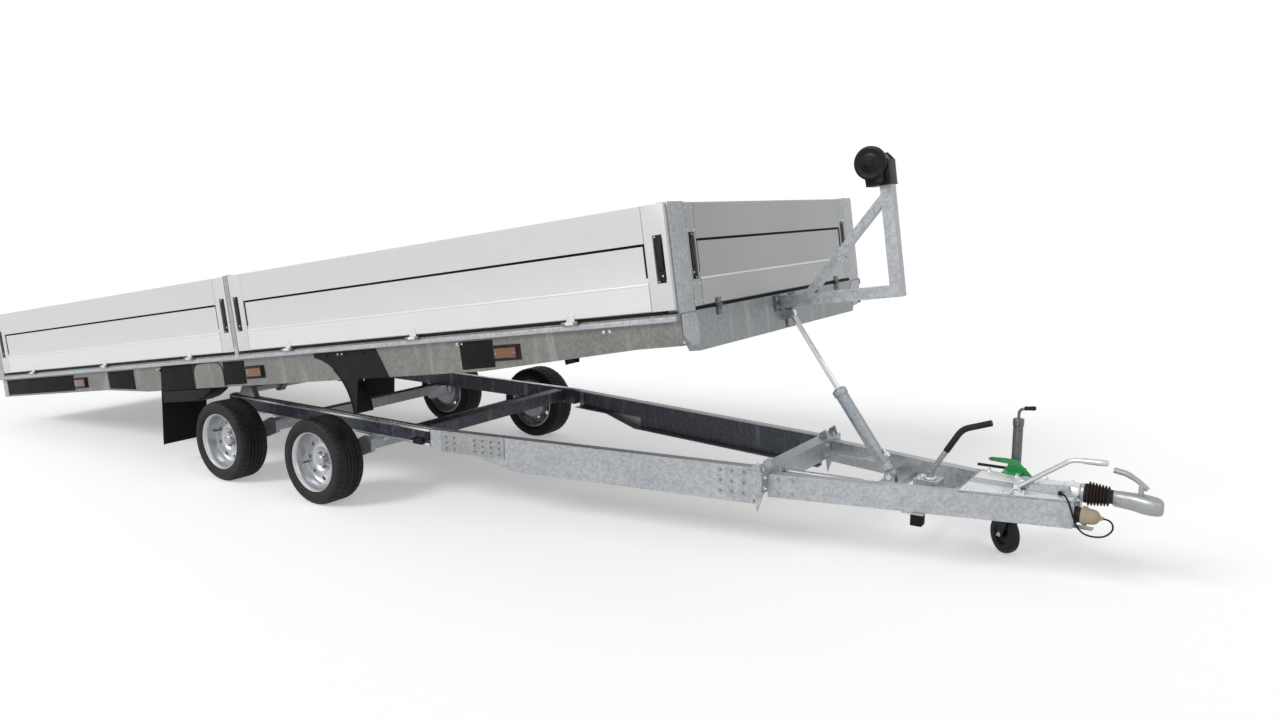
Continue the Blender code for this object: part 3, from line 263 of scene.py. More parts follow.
FINISHES = {
    "zinc_chassis": (galvanised("zinc_chassis", (0.38, 0.40, 0.42), (0.52, 0.54, 0.57)), "galvanised"),
    "zinc_bed": (galvanised("zinc_bed", (0.33, 0.34, 0.34), (0.45, 0.46, 0.46), TILT), "galvanised"),
    # A near-black copy of the zinc for the rails and the parts under the bed and inside the beams: painted
    # shade.
    "zinc_painted_shade": (galvanised("zinc_painted_shade", (0.055, 0.060, 0.080), (0.12, 0.13, 0.16)), "galvanised"),
    "zinc_web": (galvanised("zinc_web", (0.190, 0.188, 0.178), (0.265, 0.262, 0.250), TILT), "galvanised"),
    "zinc_beam": (galvanised("zinc_beam", (0.25, 0.275, 0.28), (0.345, 0.37, 0.375), TILT), "galvanised"),
    "board": (extruded("board_aluminium", (0.70, 0.71, 0.70), TILT), "bed_aluminium"),
    # A darker copy of the board aluminium for the boards that face across the bed: painted shade.
    "board_painted_shade": (extruded("board_aluminium_painted_shade", (0.45, 0.46, 0.46), TILT, ACROSS), "bed_aluminium"),
    "floor": (phenolic("floor_film", TILT), "wood_floor"),
    "guard": (moulded("guard_plastic", (0.008, 0.008, 0.009), dust=0.07), "black_plastic"),
    "trim": (moulded("trim_plastic", (0.012, 0.012, 0.013), 0.42, 600.0, 0.15), "black_plastic"),
    "flap": (moulded("flap_rubber", (0.007, 0.007, 0.007), 0.7, 260.0, 0.06), "flap_rubber"),
    "bellows": (moulded("bellows_rubber", (0.028, 0.019, 0.015), 0.6, 300.0), "flap_rubber"),
    "tyre": (tyre_rubber("tyre_rubber"), "tyre"),
    "rim": (plated("rim_lacquer", (0.52, 0.53, 0.55), 0.32, 0.8), "rim_silver"),
    "chrome": (plated("rod_chrome", (0.60, 0.61, 0.63), 0.12, 1.0), "chrome_rod"),
    "green": (painted("clamp_green", (0.015, 0.30, 0.075)), "green_paint"),
    "black": (painted("winch_black", (0.004, 0.004, 0.0045), 0.42, 0.04, 0.22), "black_paint"),
    "graphite": (galvanised("tube_grey", (0.11, 0.115, 0.12), (0.19, 0.195, 0.20)), "black_paint"),
    "bright": (plated("bright_zinc", (0.72, 0.73, 0.74), 0.30, 0.8), "silver_casting"),
    "ram_blue": (galvanised("ram_blue", (0.30, 0.34, 0.37), (0.42, 0.46, 0.49), -0.8), "galvanised"),
    "cast": (plated("cast_zinc", (0.36, 0.37, 0.37), 0.44, 0.75, (0.15, 0.15, 0.15)), "silver_casting"),
    "cover": (plated("cover_white_zinc", (0.80, 0.81, 0.82), 0.38, 0.45), "silver_casting"),
    "red": (lens("lens_red", (0.60, 0.015, 0.010), (0.32, 0.004, 0.004)), "lamp_red"),
    "amber": (lens("lens_amber", (0.27, 0.085, 0.018), (0.10, 0.024, 0.004)), "lamp_red"),
    "lever": (plated("lever_zinc", (0.58, 0.59, 0.60), 0.33, 0.8), "silver_casting"),
    "bolt": (plated("bolt_zinc", (0.40, 0.41, 0.43), 0.42, 0.6), "silver_casting"),
    "band": (extruded("band_aluminium", (0.80, 0.81, 0.81), TILT), "bed_aluminium"),
    # A darker copy of the band aluminium for the boards that face across the bed: painted shade.
    "band_painted_shade": (extruded("band_aluminium_painted_shade", (0.50, 0.51, 0.51), TILT, ACROSS), "bed_aluminium"),
    "clear": (lens("lens_clear", (0.80, 0.80, 0.80), (0.55, 0.55, 0.56)), "lamp_red"),
    "plug": (moulded("plug_plastic", (0.42, 0.34, 0.24), 0.45, 300.0, 0.3), "black_plastic"),
    "strap": (webbing("strap_grey", (0.30, 0.31, 0.33)), "black_plastic"),
}


# Modelling
def to_object(name, work, smooth=30):
    bmesh.ops.remove_doubles(work, verts=work.verts, dist=1e-6)
    bmesh.ops.recalc_face_normals(work, faces=work.faces)
    mesh = bpy.data.meshes.new(name)
    work.to_mesh(mesh)
    work.free()
    mesh.shade_smooth()
    mesh.set_sharp_from_angle(angle=math.radians(smooth))
    thing = bpy.data.objects.new(name, mesh)
    bpy.context.scene.collection.objects.link(thing)
    return thing


def outline_block(outline, along, lo, hi):
    """An outline in the other two axes, extruded from lo to hi."""
    spot = {"x": lambda a, b: (lo, a, b), "y": lambda a, b: (a, lo, b), "z": lambda a, b: (a, b, lo)}[along]
    push = {"x": (hi - lo, 0, 0), "y": (0, hi - lo, 0), "z": (0, 0, hi - lo)}[along]
    work = bmesh.new()
    face = work.faces.new([work.verts.new(spot(a, b)) for a, b in outline])
    grown = bmesh.ops.extrude_face_region(work, geom=[face])
    bmesh.ops.translate(work, verts=[v for v in grown["geom"] if isinstance(v, bmesh.types.BMVert)], vec=push)
    return to_object("block", work)


def block(x, y, z):
    """A box between three pairs of places, each pair in any order."""
    (x0, x1), (y0, y1), (z0, z1) = sorted(x), sorted(y), sorted(z)
    return outline_block([(x0, y0), (x1, y0), (x1, y1), (x0, y1)], "z", z0, z1)


def rounded(thing, width, segments=2):
    """Bevels every edge over 30 degrees and applies it."""
    work = bmesh.new()
    work.from_mesh(thing.data)
    sharp = [e for e in work.edges if len(e.link_faces) == 2 and e.calc_face_angle(0) > math.radians(30)]
    bmesh.ops.bevel(work, geom=sharp, offset=width, segments=segments, affect="EDGES", profile=0.6,
                    clamp_overlap=True)
    work.to_mesh(thing.data)
    work.free()
    thing.data.shade_smooth()
    thing.data.set_sharp_from_angle(angle=math.radians(40))
    return thing


def about(middle, half):
    """The two ends of a span, from its middle."""
    return middle - half, middle + half


def soft_block(x, y, z, edge, segments=2):
    return rounded(block(x, y, z), edge, segments)


def side_frame(side):
    """The left side's own place, or the half turn that lays its places on the right."""
    return Matrix.Identity(4) if side > 0 else Matrix.Rotation(math.pi, 4, "Z")


def side_plate(side, outline, lo, hi):
    """An outline seen from the side, extruded from lo to hi; its X changes sign on the right."""
    return outline_block([(side * x, z) for x, z in outline], "y", lo, hi)


def circle(count, radius=1.0, shift=0.0):
    """Points round a circle, the first one turned by a share of a step."""
    turns = [2 * math.pi * (k + shift) / count for k in range(count)]
    return [(radius * math.cos(t), radius * math.sin(t)) for t in turns]


def lathe(profile, steps=48, centre=(0, 0, 0), axis="y", side=1, smooth=30):
    """Spins (radius, place) about an axis; a profile that starts off the axis is closed to a ring."""
    spot = {"y": lambda r, a: (r, a, 0), "x": lambda r, a: (a, r, 0), "z": lambda r, a: (r, 0, a)}[axis]
    way = {"x": (1, 0, 0), "y": (0, 1, 0), "z": (0, 0, 1)}[axis]
    work = bmesh.new()
    verts = [work.verts.new(spot(r, side * a)) for r, a in profile]
    pairs = list(zip(verts, verts[1:])) + ([(verts[-1], verts[0])] if profile[0][0] > 0 else [])
    edges = [work.edges.new(p) for p in pairs]
    bmesh.ops.spin(work, geom=verts + edges, cent=(0, 0, 0), axis=way, angle=2 * math.pi, steps=steps,
                   use_merge=True)
    bmesh.ops.translate(work, verts=work.verts, vec=centre)
    return to_object("lathe", work, smooth)


def mirrored(profile):
    """A profile with its mirror image after it."""
    return profile + [(radius, -place) for radius, place in reversed(profile)]


def along(thing, start, end):
    """Lays a piece made up the Z axis onto a line."""
    start, end = Vector(start), Vector(end)
    turn = Vector((0, 0, 1)).rotation_difference(end - start).to_matrix().to_4x4()
    thing.data.transform(Matrix.Translation(start) @ turn)
    return thing


def round_bar(start, end, radius, steps=20):
    length = (Vector(end) - Vector(start)).length
    edge = radius * 0.15
    profile = [(0, 0), (radius - edge, 0), (radius, edge), (radius, length - edge), (radius - edge, length),
               (0, length)]
    return along(lathe(profile, steps, axis="z"), start, end)


CORNER_STEPS = 6


def soft_path(points, radius):
    """Rounds the corners of a path."""
    points = [Vector(p) for p in points]
    path = [points[0]]
    for before, corner, after in zip(points, points[1:], points[2:]):
        reach = min(radius, (corner - before).length * 0.45, (after - corner).length * 0.45)
        a, b = corner + (before - corner).normalized() * reach, corner + (after - corner).normalized() * reach
        for k in range(CORNER_STEPS + 1):
            t = k / CORNER_STEPS
            path.append(a * (1 - t) ** 2 + corner * 2 * t * (1 - t) + b * t ** 2)
    return path + [points[-1]]


def bent_bar(points, radius, corner, ring=4):
    """A round bar or tube along a path with rounded corners."""
    curve = bpy.data.curves.new("path", "CURVE")
    curve.dimensions, curve.use_fill_caps = "3D", True
    curve.bevel_depth, curve.bevel_resolution = radius, ring
    path = soft_path(points, corner)
    spline = curve.splines.new("POLY")
    spline.points.add(len(path) - 1)
    for point, spot in zip(spline.points, path):
        point.co = (*spot, 1)
    return as_mesh(bpy.data.objects.new("path", curve))


def as_mesh(source):
    """The evaluated object as a new plain mesh object; the source goes."""
    if source.name not in bpy.context.scene.collection.objects:
        bpy.context.scene.collection.objects.link(source)
    bpy.context.view_layer.update()
    mesh = bpy.data.meshes.new_from_object(source.evaluated_get(bpy.context.evaluated_depsgraph_get()))
    bpy.data.objects.remove(source)
    work = bmesh.new()
    work.from_mesh(mesh)
    bpy.data.meshes.remove(mesh)
    return to_object("mesh", work, 35)


def drilled(thing, *tools):
    """Cuts the tools out of a piece."""
    for tool in tools:
        step = thing.modifiers.new("cut", "BOOLEAN")
        step.operation, step.solver, step.object = "DIFFERENCE", "EXACT", tool
    bpy.context.view_layer.update()
    plain = as_mesh(thing)
    for tool in tools:
        bpy.data.objects.remove(tool)
    return plain


def joined(*things):
    """One object from several, each keeping its faces."""
    work = bmesh.new()
    for thing in things:
        work.from_mesh(thing.data)
        bpy.data.objects.remove(thing)
    mesh = bpy.data.meshes.new("joined")
    work.to_mesh(mesh)
    work.free()
    mesh.shade_smooth()
    mesh.set_sharp_from_angle(angle=math.radians(35))
    thing = bpy.data.objects.new("joined", mesh)
    bpy.context.scene.collection.objects.link(thing)
    return thing


def fit(name, thing, finish, body, place, *stands_for):
    """Names a piece, puts it in its place, paints it and hangs it on its body."""
    thing.name = thing.data.name = name
    thing.data.transform(place)
    material, slot = FINISHES[finish]
    thing.data.materials.clear()
    thing.data.materials.append(material)
    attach(thing, body)
    if stands_for:
        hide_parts(*stands_for)
    return thing


# Fasteners, made by geometry nodes at marked places
def copier_tree(name, **sizes):
    """A new tree with sockets for places, sizes and finish; what it reads and where its result goes."""
    tree = bpy.data.node_groups.new(name, "GeometryNodeTree")
    kinds = [("Places", "Geometry")] + [(size, "Float") for size in sizes] + [("Finish", "Material")]
    for label, kind in kinds:
        made = tree.interface.new_socket(label, in_out="INPUT", socket_type=f"NodeSocket{kind}")
        if label in sizes:
            made.default_value = sizes[label]
    tree.interface.new_socket("Geometry", in_out="OUTPUT", socket_type="NodeSocketGeometry")
    return tree, tree.nodes.new("NodeGroupInput").outputs, tree.nodes.new("NodeGroupOutput")


def fastener_tree():
    """A washer, a hexagon head and a bolt's end at each marked place, along its direction."""
    tree, read, out = copier_tree("hex_fasteners", Head=0.009, Height=0.007, Washer=0.012, Thread=0.005)
    middle, end = (maths(tree, "MULTIPLY", read["Height"], share) for share in (0.5, 1.5))
    parts = []
    for count, radius, depth, raised in ((14, "Washer", 0.003, 0.0), (6, "Head", read["Height"], middle),
                                         (8, "Thread", read["Height"], end)):
        shape = add(tree, "GeometryNodeMeshCylinder",
                    {"Vertices": count, "Radius": read[radius], "Depth": depth})
        shift = add(tree, "ShaderNodeCombineXYZ", {"Z": raised}).outputs[0]
        parts.append(add(tree, "GeometryNodeTransform",
                         {"Geometry": shape.outputs["Mesh"], "Translation": shift}))
    both = add(tree, "GeometryNodeJoinGeometry")
    for part in parts:
        tree.links.new(part.outputs[0], both.inputs[0])
    return placed_copies(tree, read, both.outputs[0], out)


def rivet_tree():
    """A low round head at each marked place."""
    tree, read, out = copier_tree("round_heads", Head=0.006, Height=0.0025)
    crown = maths(tree, "MULTIPLY", read["Head"], 0.55)
    shape = add(tree, "GeometryNodeMeshCone",
                {"Vertices": 12, "Radius Top": crown, "Radius Bottom": read["Head"], "Depth": read["Height"]})
    return placed_copies(tree, read, shape.outputs["Mesh"], out)


def placed_copies(tree, read, shape, out):
    """Copies a shape to each place, turned to its direction, and paints the copies."""
    points = add(tree, "GeometryNodeMeshToPoints", {"Mesh": read["Places"]}).outputs[0]
    aim = add(tree, "GeometryNodeInputNamedAttribute", {"Name": "aim"},
              data_type="FLOAT_VECTOR").outputs["Attribute"]
    turn = add(tree, "FunctionNodeAlignRotationToVector", {"Vector": aim}, axis="Z").outputs[0]
    copies = add(tree, "GeometryNodeInstanceOnPoints",
                 {"Points": points, "Instance": shape, "Rotation": turn}).outputs[0]
    real = add(tree, "GeometryNodeRealizeInstances", {"Geometry": copies}).outputs[0]
    done = add(tree, "GeometryNodeSetMaterial", {"Geometry": real, "Material": read["Finish"]}).outputs[0]
    tree.links.new(done, out.inputs[0])
    return tree


FASTENERS, RIVETS = fastener_tree(), rivet_tree()


def spread(tree, places, finish, **sizes):
    """Runs a tree over places, each a point and a direction, and returns the plain mesh."""
    mesh = bpy.data.meshes.new("places")
    mesh.from_pydata([tuple(spot) for spot, _ in places], [], [])
    aims = mesh.attributes.new("aim", "FLOAT_VECTOR", "POINT")
    for k, (_, aim) in enumerate(places):
        aims.data[k].vector = aim
    holder = bpy.data.objects.new("places", mesh)
    step = holder.modifiers.new("copies", "NODES")
    step.node_group = tree
    sockets = {s.name: s.identifier for s in tree.interface.items_tree if s.in_out == "INPUT"}
    for name, value in sizes.items():
        step[sockets[name]] = value
    step[sockets["Finish"]] = FINISHES[finish][0]
    return as_mesh(holder)


def bolted(name, places, finish, body, place, head, height, washer, thread):
    """Fits hexagon bolts as one piece; sizes are radii, and the head's height."""
    bolts = spread(FASTENERS, places, finish, Head=head, Height=height, Washer=washer, Thread=thread)
    fit(name, bolts, finish, body, place)


def riveted(name, places, finish, body, place, head, height):
    """Fits round heads as one piece, by radius and height."""
    fit(name, spread(RIVETS, places, finish, Head=head, Height=height), finish, body, place)


# Camera, light and floor. The camera stands where the photo's stood, by a fit to its corners.
CAMERA_SPOT = Vector((4.827, -4.776, 1.840))
YAW, PITCH, ROLL = math.radians(33.85), math.radians(9.56), math.radians(-0.25)
SENSOR, FOCAL_SHARE = 36.0, 993 / 1280
SUNS = (("key", (0.30, 0.80, -0.62), 1.55, 22), ("fill", (-0.9, 0.25, -0.55), 0.30, 40))
SKY_GLOW, FLOOR_HALF, FLOOR_DROP = 0.36, 60, 0.0005


def look():
    """A camera at the photo's place."""
    camera = bpy.data.objects.new("camera", bpy.data.cameras.new("camera"))
    bpy.context.scene.collection.objects.link(camera)
    camera.matrix_world = (Matrix.Translation(CHASSIS @ CAMERA_SPOT) @ Matrix.Rotation(YAW, 4,
            "Z") @ Matrix.Rotation(math.pi / 2 - PITCH, 4, "X") @ Matrix.Rotation(ROLL, 4, "Z"))
    camera.data.sensor_width = SENSOR
    camera.data.lens = SENSOR * FOCAL_SHARE
    camera.data.clip_start, camera.data.clip_end = 0.05, 200
    bpy.context.scene.camera = camera
    bpy.context.scene.view_settings.view_transform = "Standard"


def seen_directly(tree, *kinds):
    """One where a ray is of one of the kinds, else nought."""
    path = add(tree, "ShaderNodeLightPath").outputs
    seen = path[f"Is {kinds[0]} Ray"]
    for kind in kinds[1:]:
        seen = maths(tree, "MAXIMUM", seen, path[f"Is {kind} Ray"])
    return seen


def light():
    """A white world, dimmer where it only lights, and two broad suns."""
    world = bpy.data.worlds.new("studio")
    bpy.context.scene.world = world
    world.use_nodes = True
    tree = world.node_tree
    back = tree.nodes["Background"]
    back.inputs["Color"].default_value = (1, 1, 1, 1)
    seen = seen_directly(tree, "Camera", "Glossy", "Transmission")
    level = add(tree, "ShaderNodeMapRange", {"Value": seen, "To Min": SKY_GLOW, "To Max": 1.0}).outputs[0]
    tree.links.new(level, back.inputs["Strength"])
    for name, aim, power, degrees in SUNS:
        lamp = bpy.data.lights.new(name, "SUN")
        lamp.energy, lamp.angle = power, math.radians(degrees)
        holder = bpy.data.objects.new(name, lamp)
        holder.rotation_mode = "QUATERNION"
        holder.rotation_quaternion = Vector(aim).to_track_quat("-Z", "Y")
        bpy.context.scene.collection.objects.link(holder)


def studio_floor():
    """A white floor that shows no edge against the world."""
    work = bmesh.new()
    bmesh.ops.create_grid(work, x_segments=1, y_segments=1, size=FLOOR_HALF)
    plane = to_object("studio_floor", work)
    plane.location.z = -FLOOR_DROP
    material, tree, shader, _ = new_material("studio_white", rough=0.9)
    shader.inputs["Base Color"].default_value = (0.90, 0.90, 0.90, 1)
    level = maths(tree, "MULTIPLY", seen_directly(tree, "Camera", "Glossy"), SKY_GLOW)
    shader.inputs["Emission Color"].default_value = (1, 1, 1, 1)
    tree.links.new(level, shader.inputs["Emission Strength"])
    plane.data.materials.append(material)


# Finishes of the part's own pieces
NODE_FINISHES = {
    "zinc_chassis": ("drawbar", "cross_front", "axle", "pivot_tube", "ram_bracket", "overrun_housing",
                     "front_beam", "winch_stand", "pump", "ram_barrel"),
    "zinc_painted_shade": ("rail", "cross_mid"),
    "zinc_bed": ("bed_rear", "post"),
    "zinc_web": ("side_beam", "underframe"),
    "zinc_beam": ("bed_front",),
    "board": ("panel",),
    "board_painted_shade": ("front_board", "tailboard"),
    "floor": ("floor",),
    "guard": ("mudguard",),
    "flap": ("mud_flap",),
    "bright": ("jockey_leg",),
    "trim": ("jockey_fork",),
    "lever": ("handbrake", "coupling_handle"),
    "green": ("jockey_clamp",),
    "cast": ("coupling_head",),
    "red": ("tail_lamp",),
    "bellows": ("bellows",),
    "tyre": ("tyre", "jockey_wheel"),
    "rim": ("rim",),
    "graphite": ("jockey_tube",),
    "chrome": ("ram_rod",),
}


MERGE_GAP, NODE_EDGE = 0.00005, 0.0012


def dress_nodes():
    """Paints each CAD piece by the longest word that its name starts with, and eases its edges."""
    order = [(word, finish) for finish, words in NODE_FINISHES.items() for word in words]
    order.sort(key=lambda pair: -len(pair[0]))
    for name, node in frame["nodes"].items():
        finish = next((f for word, f in order if name.startswith(word)), "black")
        node.data.materials.clear()
        node.data.materials.append(FINISHES[finish][0])
        merge = node.modifiers.new("merge", "WELD")
        merge.merge_threshold = MERGE_GAP
        edge = node.modifiers.new("edge", "BEVEL")
        edge.width, edge.segments = NODE_EDGE, 2
        edge.limit_method, edge.angle_limit = "ANGLE", math.radians(40)
        edge.harden_normals, edge.use_clamp_overlap = True, True


# Wheels: grooved tyre, dished rim with hand holes, nuts
GROOVE, GROOVE_W, SIPE = 0.0080, 0.0090, 0.0060
GROOVES = (-0.036, -0.0125, 0.0125, 0.036)
TYRE_STEPS, SIPE_EVERY = 160, 4
HAND_HOLES, HOLE_CIRCLE, HOLE_R = 8, 0.118, 0.014
WHEEL_NUTS, NUT_CIRCLE, NUT_FACE = 5, 0.0475, -0.0036


def tyre_profile():
    """Radius, place across and whether the point lies on the notched shoulder."""
    wall = [(0.1700, 0.0795, 0), (0.1830, 0.0795, 0), (0.1850, 0.0870, 0), (0.1930, 0.0920, 0),
            (0.2040, 0.0952, 0), (0.2055, 0.0966, 0), (0.2075, 0.0958, 0), (0.2200, 0.0972, 0),
            (0.2290, 0.0975, 0), (0.2380, 0.0962, 0), (0.2395, 0.0970, 0), (0.2415, 0.0952, 0),
            (0.2500, 0.0905, 0), (0.2560, 0.0840, 1), (0.2600, 0.0760, 1), (TYRE_R - 0.0006, 0.0690, 1),
            (TYRE_R, 0.0640, 1), (TYRE_R, 0.0470, 1)]
    tread = []
    for centre in reversed(GROOVES):
        half = GROOVE_W / 2
        tread += [(TYRE_R, centre + half, 0), (TYRE_R - GROOVE, centre + half * 0.7, 0),
                  (TYRE_R - GROOVE, centre - half * 0.7, 0), (TYRE_R, centre - half, 0)]
    return wall + tread + [(r, -a, n) for r, a, n in reversed(wall)]


def tyre():
    """Rings of the profile round the axle, their shoulders cut in steps."""
    work = bmesh.new()
    profile = tyre_profile()
    rings = []
    for k, (across, up) in enumerate(circle(TYRE_STEPS)):
        ring = []
        for r, a, notched in profile:
            cut = SIPE if notched and (k + (2 if a > 0 else 0)) % SIPE_EVERY == 0 else 0
            ring.append(work.verts.new(((r - cut) * across, a, (r - cut) * up)))
        rings.append(ring)
    for k in range(TYRE_STEPS):
        here, there = rings[k], rings[(k + 1) % TYRE_STEPS]
        for i in range(len(profile)):
            j = (i + 1) % len(profile)
            work.faces.new((here[i], here[j], there[j], there[i]))
    return to_object("tyre", work, 28)


def rim():
    """A dished wheel with its hand holes."""
    face = [(0.1826, 0.0802), (0.1826, 0.0860), (0.1808, 0.0886), (0.1775, 0.0884), (0.1722, 0.0820),
            (0.1660, 0.0740), (0.1625, 0.0600), (0.1610, 0.0300), (0.1606, 0.0060), (0.1575, 0.0000),
            (0.1500, -0.0020), (0.1180, 0.0040), (0.0930, 0.0105), (0.0850, 0.0118), (0.0780, 0.0105),
            (0.0670, -0.0010), (0.0600, -0.0036), (0.0345, -0.0036)]
    back = [(0.0345, -0.0116), (0.0600, -0.0116), (0.0850, 0.0040), (0.1500, -0.0150), (0.1606, -0.0230),
            (0.1612, -0.0600), (0.1680, -0.0760), (0.1775, -0.0884), (0.1826, -0.0860), (0.1826, -0.0802),
            (0.1697, -0.0790), (0.1690, -0.0500), (0.1640, -0.0300), (0.1640, 0.0300), (0.1690, 0.0500),
            (0.1697, 0.0790)]
    body = lathe(face + back, 96)
    holes = []
    for x, z in circle(HAND_HOLES, HOLE_CIRCLE, 0.5):
        holes.append(round_bar((x, -0.05, z), (x, 0.05, z), HOLE_R))
    return drilled(body, *holes)


def wheels():
    """Four wheels from one tyre and one rim, with nuts and a valve each."""
    plain_tyre, plain_rim = tyre(), rim()
    for end, axle_x in (("front", 0.0), ("rear", -AXLE_GAP)):
        for side, mark in SIDES:
            body = f"wheel_{end}_{mark}"
            spin = 0.37 * side + (0.5 if end == "rear" else 0)
            hub = CHASSIS @ Matrix.Translation((axle_x, side * WHEEL_Y, TYRE_R))
            place = hub @ Matrix.Rotation(spin, 4, "Y") @ side_frame(side)
            for kind, plain in (("tyre", plain_tyre), ("rim", plain_rim)):
                copy = bpy.data.objects.new(kind, plain.data.copy())
                bpy.context.scene.collection.objects.link(copy)
                fit(f"{kind}_{end}_{mark}_detail", copy, kind, body, place, f"{kind}_{end}_{mark}")
            nuts = [((x, NUT_FACE, z), OUTWARD) for x, z in circle(WHEEL_NUTS, NUT_CIRCLE)]
            bolted(f"nuts_{end}_{mark}", nuts, "bolt", body, place, 0.0100, 0.011, 0.0115, 0.006)
            valve = round_bar((0.1490, -0.001, 0.02), (0.1500, 0.032, 0.02), 0.0035, 10)
            fit(f"valve_{end}_{mark}", valve, "trim", body, place)
    for plain in (plain_tyre, plain_rim):
        bpy.data.objects.remove(plain)


# Boards: hollow planks with a recessed band and a groove over it, painted shade in the groove and at the
# band's ends, end caps with latches
BAND_LOW, BAND_STEP, BAND_CUT, CAP_W = 0.925, 1.109, 0.005, 0.120
BOARD_GAP, STEP_H, SHADE_STRIP_T = 0.012, 0.012, 0.006
FRONT_REACH, POST_OUT, POST_DEEP, POST_T = 0.908, 1.0475, 0.060, 0.005


def face_frame(x=0.0, y=0.0, out=0):
    """A place on a board's outer face: X along it, Y outward."""
    return Matrix.Translation((x, y, 0)) @ Matrix.Rotation(out, 4, "Z")


def plank_profile():
    low, top, back = BOARD_LOW + BOARD_GAP, BOARD_TOP, -BOARD_T
    return [(-0.003, low), (0, low + 0.003), (0, BAND_LOW), (-BAND_CUT, BAND_LOW + 0.016),
            (-BAND_CUT, BAND_STEP - STEP_H), (-0.0112, BAND_STEP - STEP_H), (-0.0112, BAND_STEP),
            (0, BAND_STEP), (0, top - 0.005), (-0.004, top), (back + 0.004, top), (back, top - 0.004),
            (back, BAND_STEP + 0.002), (back + 0.002, BAND_STEP), (back, BAND_STEP - 0.002),
            (back, BAND_LOW + 0.002), (back + 0.002, BAND_LOW), (back, BAND_LOW - 0.002), (back, low)]


def end_cap(lo, hi, pocket):
    low = BOARD_LOW + BOARD_GAP
    cap = soft_block((lo, hi), (-BOARD_T, 0), (low, BOARD_TOP), 0.002)
    hole = block((pocket, pocket + LATCH_W), (-0.014, 0.01), (LATCH_TOP - LATCH_H, LATCH_TOP))
    return drilled(cap, hole)


def board_detail(tag, body, lo, hi, local, finish, node, hinges=(), cap=CAP_W, latch_edge=LATCH_EDGE):
    """A board's planks, end caps, latches, rivets and hinges, on a face that runs from lo to hi."""
    place = BED @ local
    inner = (lo + cap + 0.003, hi - cap - 0.003)
    middle = outline_block(plank_profile(), "x", lo + cap + 0.002, hi - cap - 0.002)
    core = block((lo + 0.010, hi - 0.010), (-BOARD_T + 0.001, -0.0115),
                 (BOARD_LOW + 0.014, BOARD_TOP - 0.006))
    # A bead under the recessed band, its near-white finish a painted highlight along the ridge.
    highlight_bead = outline_block([(-0.002, BAND_LOW - 0.004), (0.0012, BAND_LOW - 0.003), (0.0024, BAND_LOW + 0.001),
                          (0.0012, BAND_LOW + 0.005), (-0.004, BAND_LOW + 0.008)], "x", lo + cap + 0.002,
                         hi - cap - 0.002)
    fit(f"{tag}_bead", highlight_bead, "cover", body, place)
    low = soft_block(inner, (-0.001, 0.0006), (BOARD_LOW + BOARD_GAP + 0.005, BAND_LOW - 0.007), 0.0003, 1)
    fit(f"{tag}_low_band", low, "band" if finish == "board" else "band_painted_shade", body, place)
    # Black blocks at the band's two ends and in the groove over it: painted shade.
    ends = ((inner[0], lo + cap + 0.013), (hi - cap - 0.013, inner[1]))
    shades = [block(end, (-0.0060, -0.0042), (BAND_LOW + 0.030, BAND_STEP - 0.010)) for end in ends]
    shade = joined(*shades, block(inner, (-0.0113, -0.0100), (BAND_STEP - STEP_H, BAND_STEP)))
    fit(f"{tag}_painted_shadow_gap", shade, "flap", body, place)
    pockets = (lo + latch_edge, hi - latch_edge - LATCH_W)
    whole = joined(middle, core, end_cap(lo, lo + cap, pockets[0]), end_cap(hi - cap, hi, pockets[1]))
    fit(f"{tag}_planks", whole, finish, body, place, node)
    latches, rivets = [], []
    for start, turn in zip(pockets, (1, -1)):
        mid = start + LATCH_W / 2
        z0, z1 = LATCH_TOP - LATCH_H, LATCH_TOP
        plate_x, pull_z = (start + 0.001, start + LATCH_W - 0.001), z1 - 0.040
        latches += [soft_block(plate_x, (-0.0138, -0.010), (z0 + 0.001, z1 - 0.001), 0.001),
                    soft_block(about(mid, 0.014), (-0.0115, -0.002), (z0 + 0.060, z1 - 0.030), 0.003, 3),
                    soft_block(about(mid, 0.019), (-0.0115, -0.0045), (z0 + 0.010, z0 + 0.055), 0.003, 3),
                    round_bar((mid - 0.020, -0.006, pull_z), (mid + 0.020, -0.006, pull_z), 0.0045, 12)]
        rivets += [((mid + dx, -0.0095, z), OUTWARD) for dx in (-0.020, 0.020)
                   for z in (z0 + 0.008, z1 - 0.008)]
        rivets += [((mid - turn * 0.005, -0.0042, z0 + 0.032), OUTWARD)]
    fit(f"{tag}_latches", joined(*latches), "trim", body, place)
    for x in (lo + 0.006, lo + cap - 0.008, hi - cap + 0.008, hi - 0.006):
        rivets += [((x, 0, z), OUTWARD) for z in (BOARD_LOW + 0.035, 0.905, 1.150, BOARD_TOP - 0.025)]
    riveted(f"{tag}_rivets", rivets, "bright", body, place, 0.0045, 0.002)
    if hinges:
        leaves, bolts = [], []
        for x in hinges:
            ring = mirrored([(0.0057, -0.025), (0.0088, -0.025), (0.0095, -0.0243)])
            ring = lathe(ring, 24, (x, 0.010, DECK_Z), "x")
            leaf = soft_block(about(x, 0.025), (-0.001, 0.003), (DECK_Z + 0.002, DECK_Z + 0.050), 0.0012)
            leaves += [ring, leaf]
            bolts += [((x + dx, 0.003, DECK_Z + 0.034), OUTWARD) for dx in (-0.014, 0.014)]
        fit(f"{tag}_hinge_leaves", joined(*leaves), "bright", body, place)
        riveted(f"{tag}_hinge_bolts", bolts, "bright", body, place, 0.0055, 0.003)


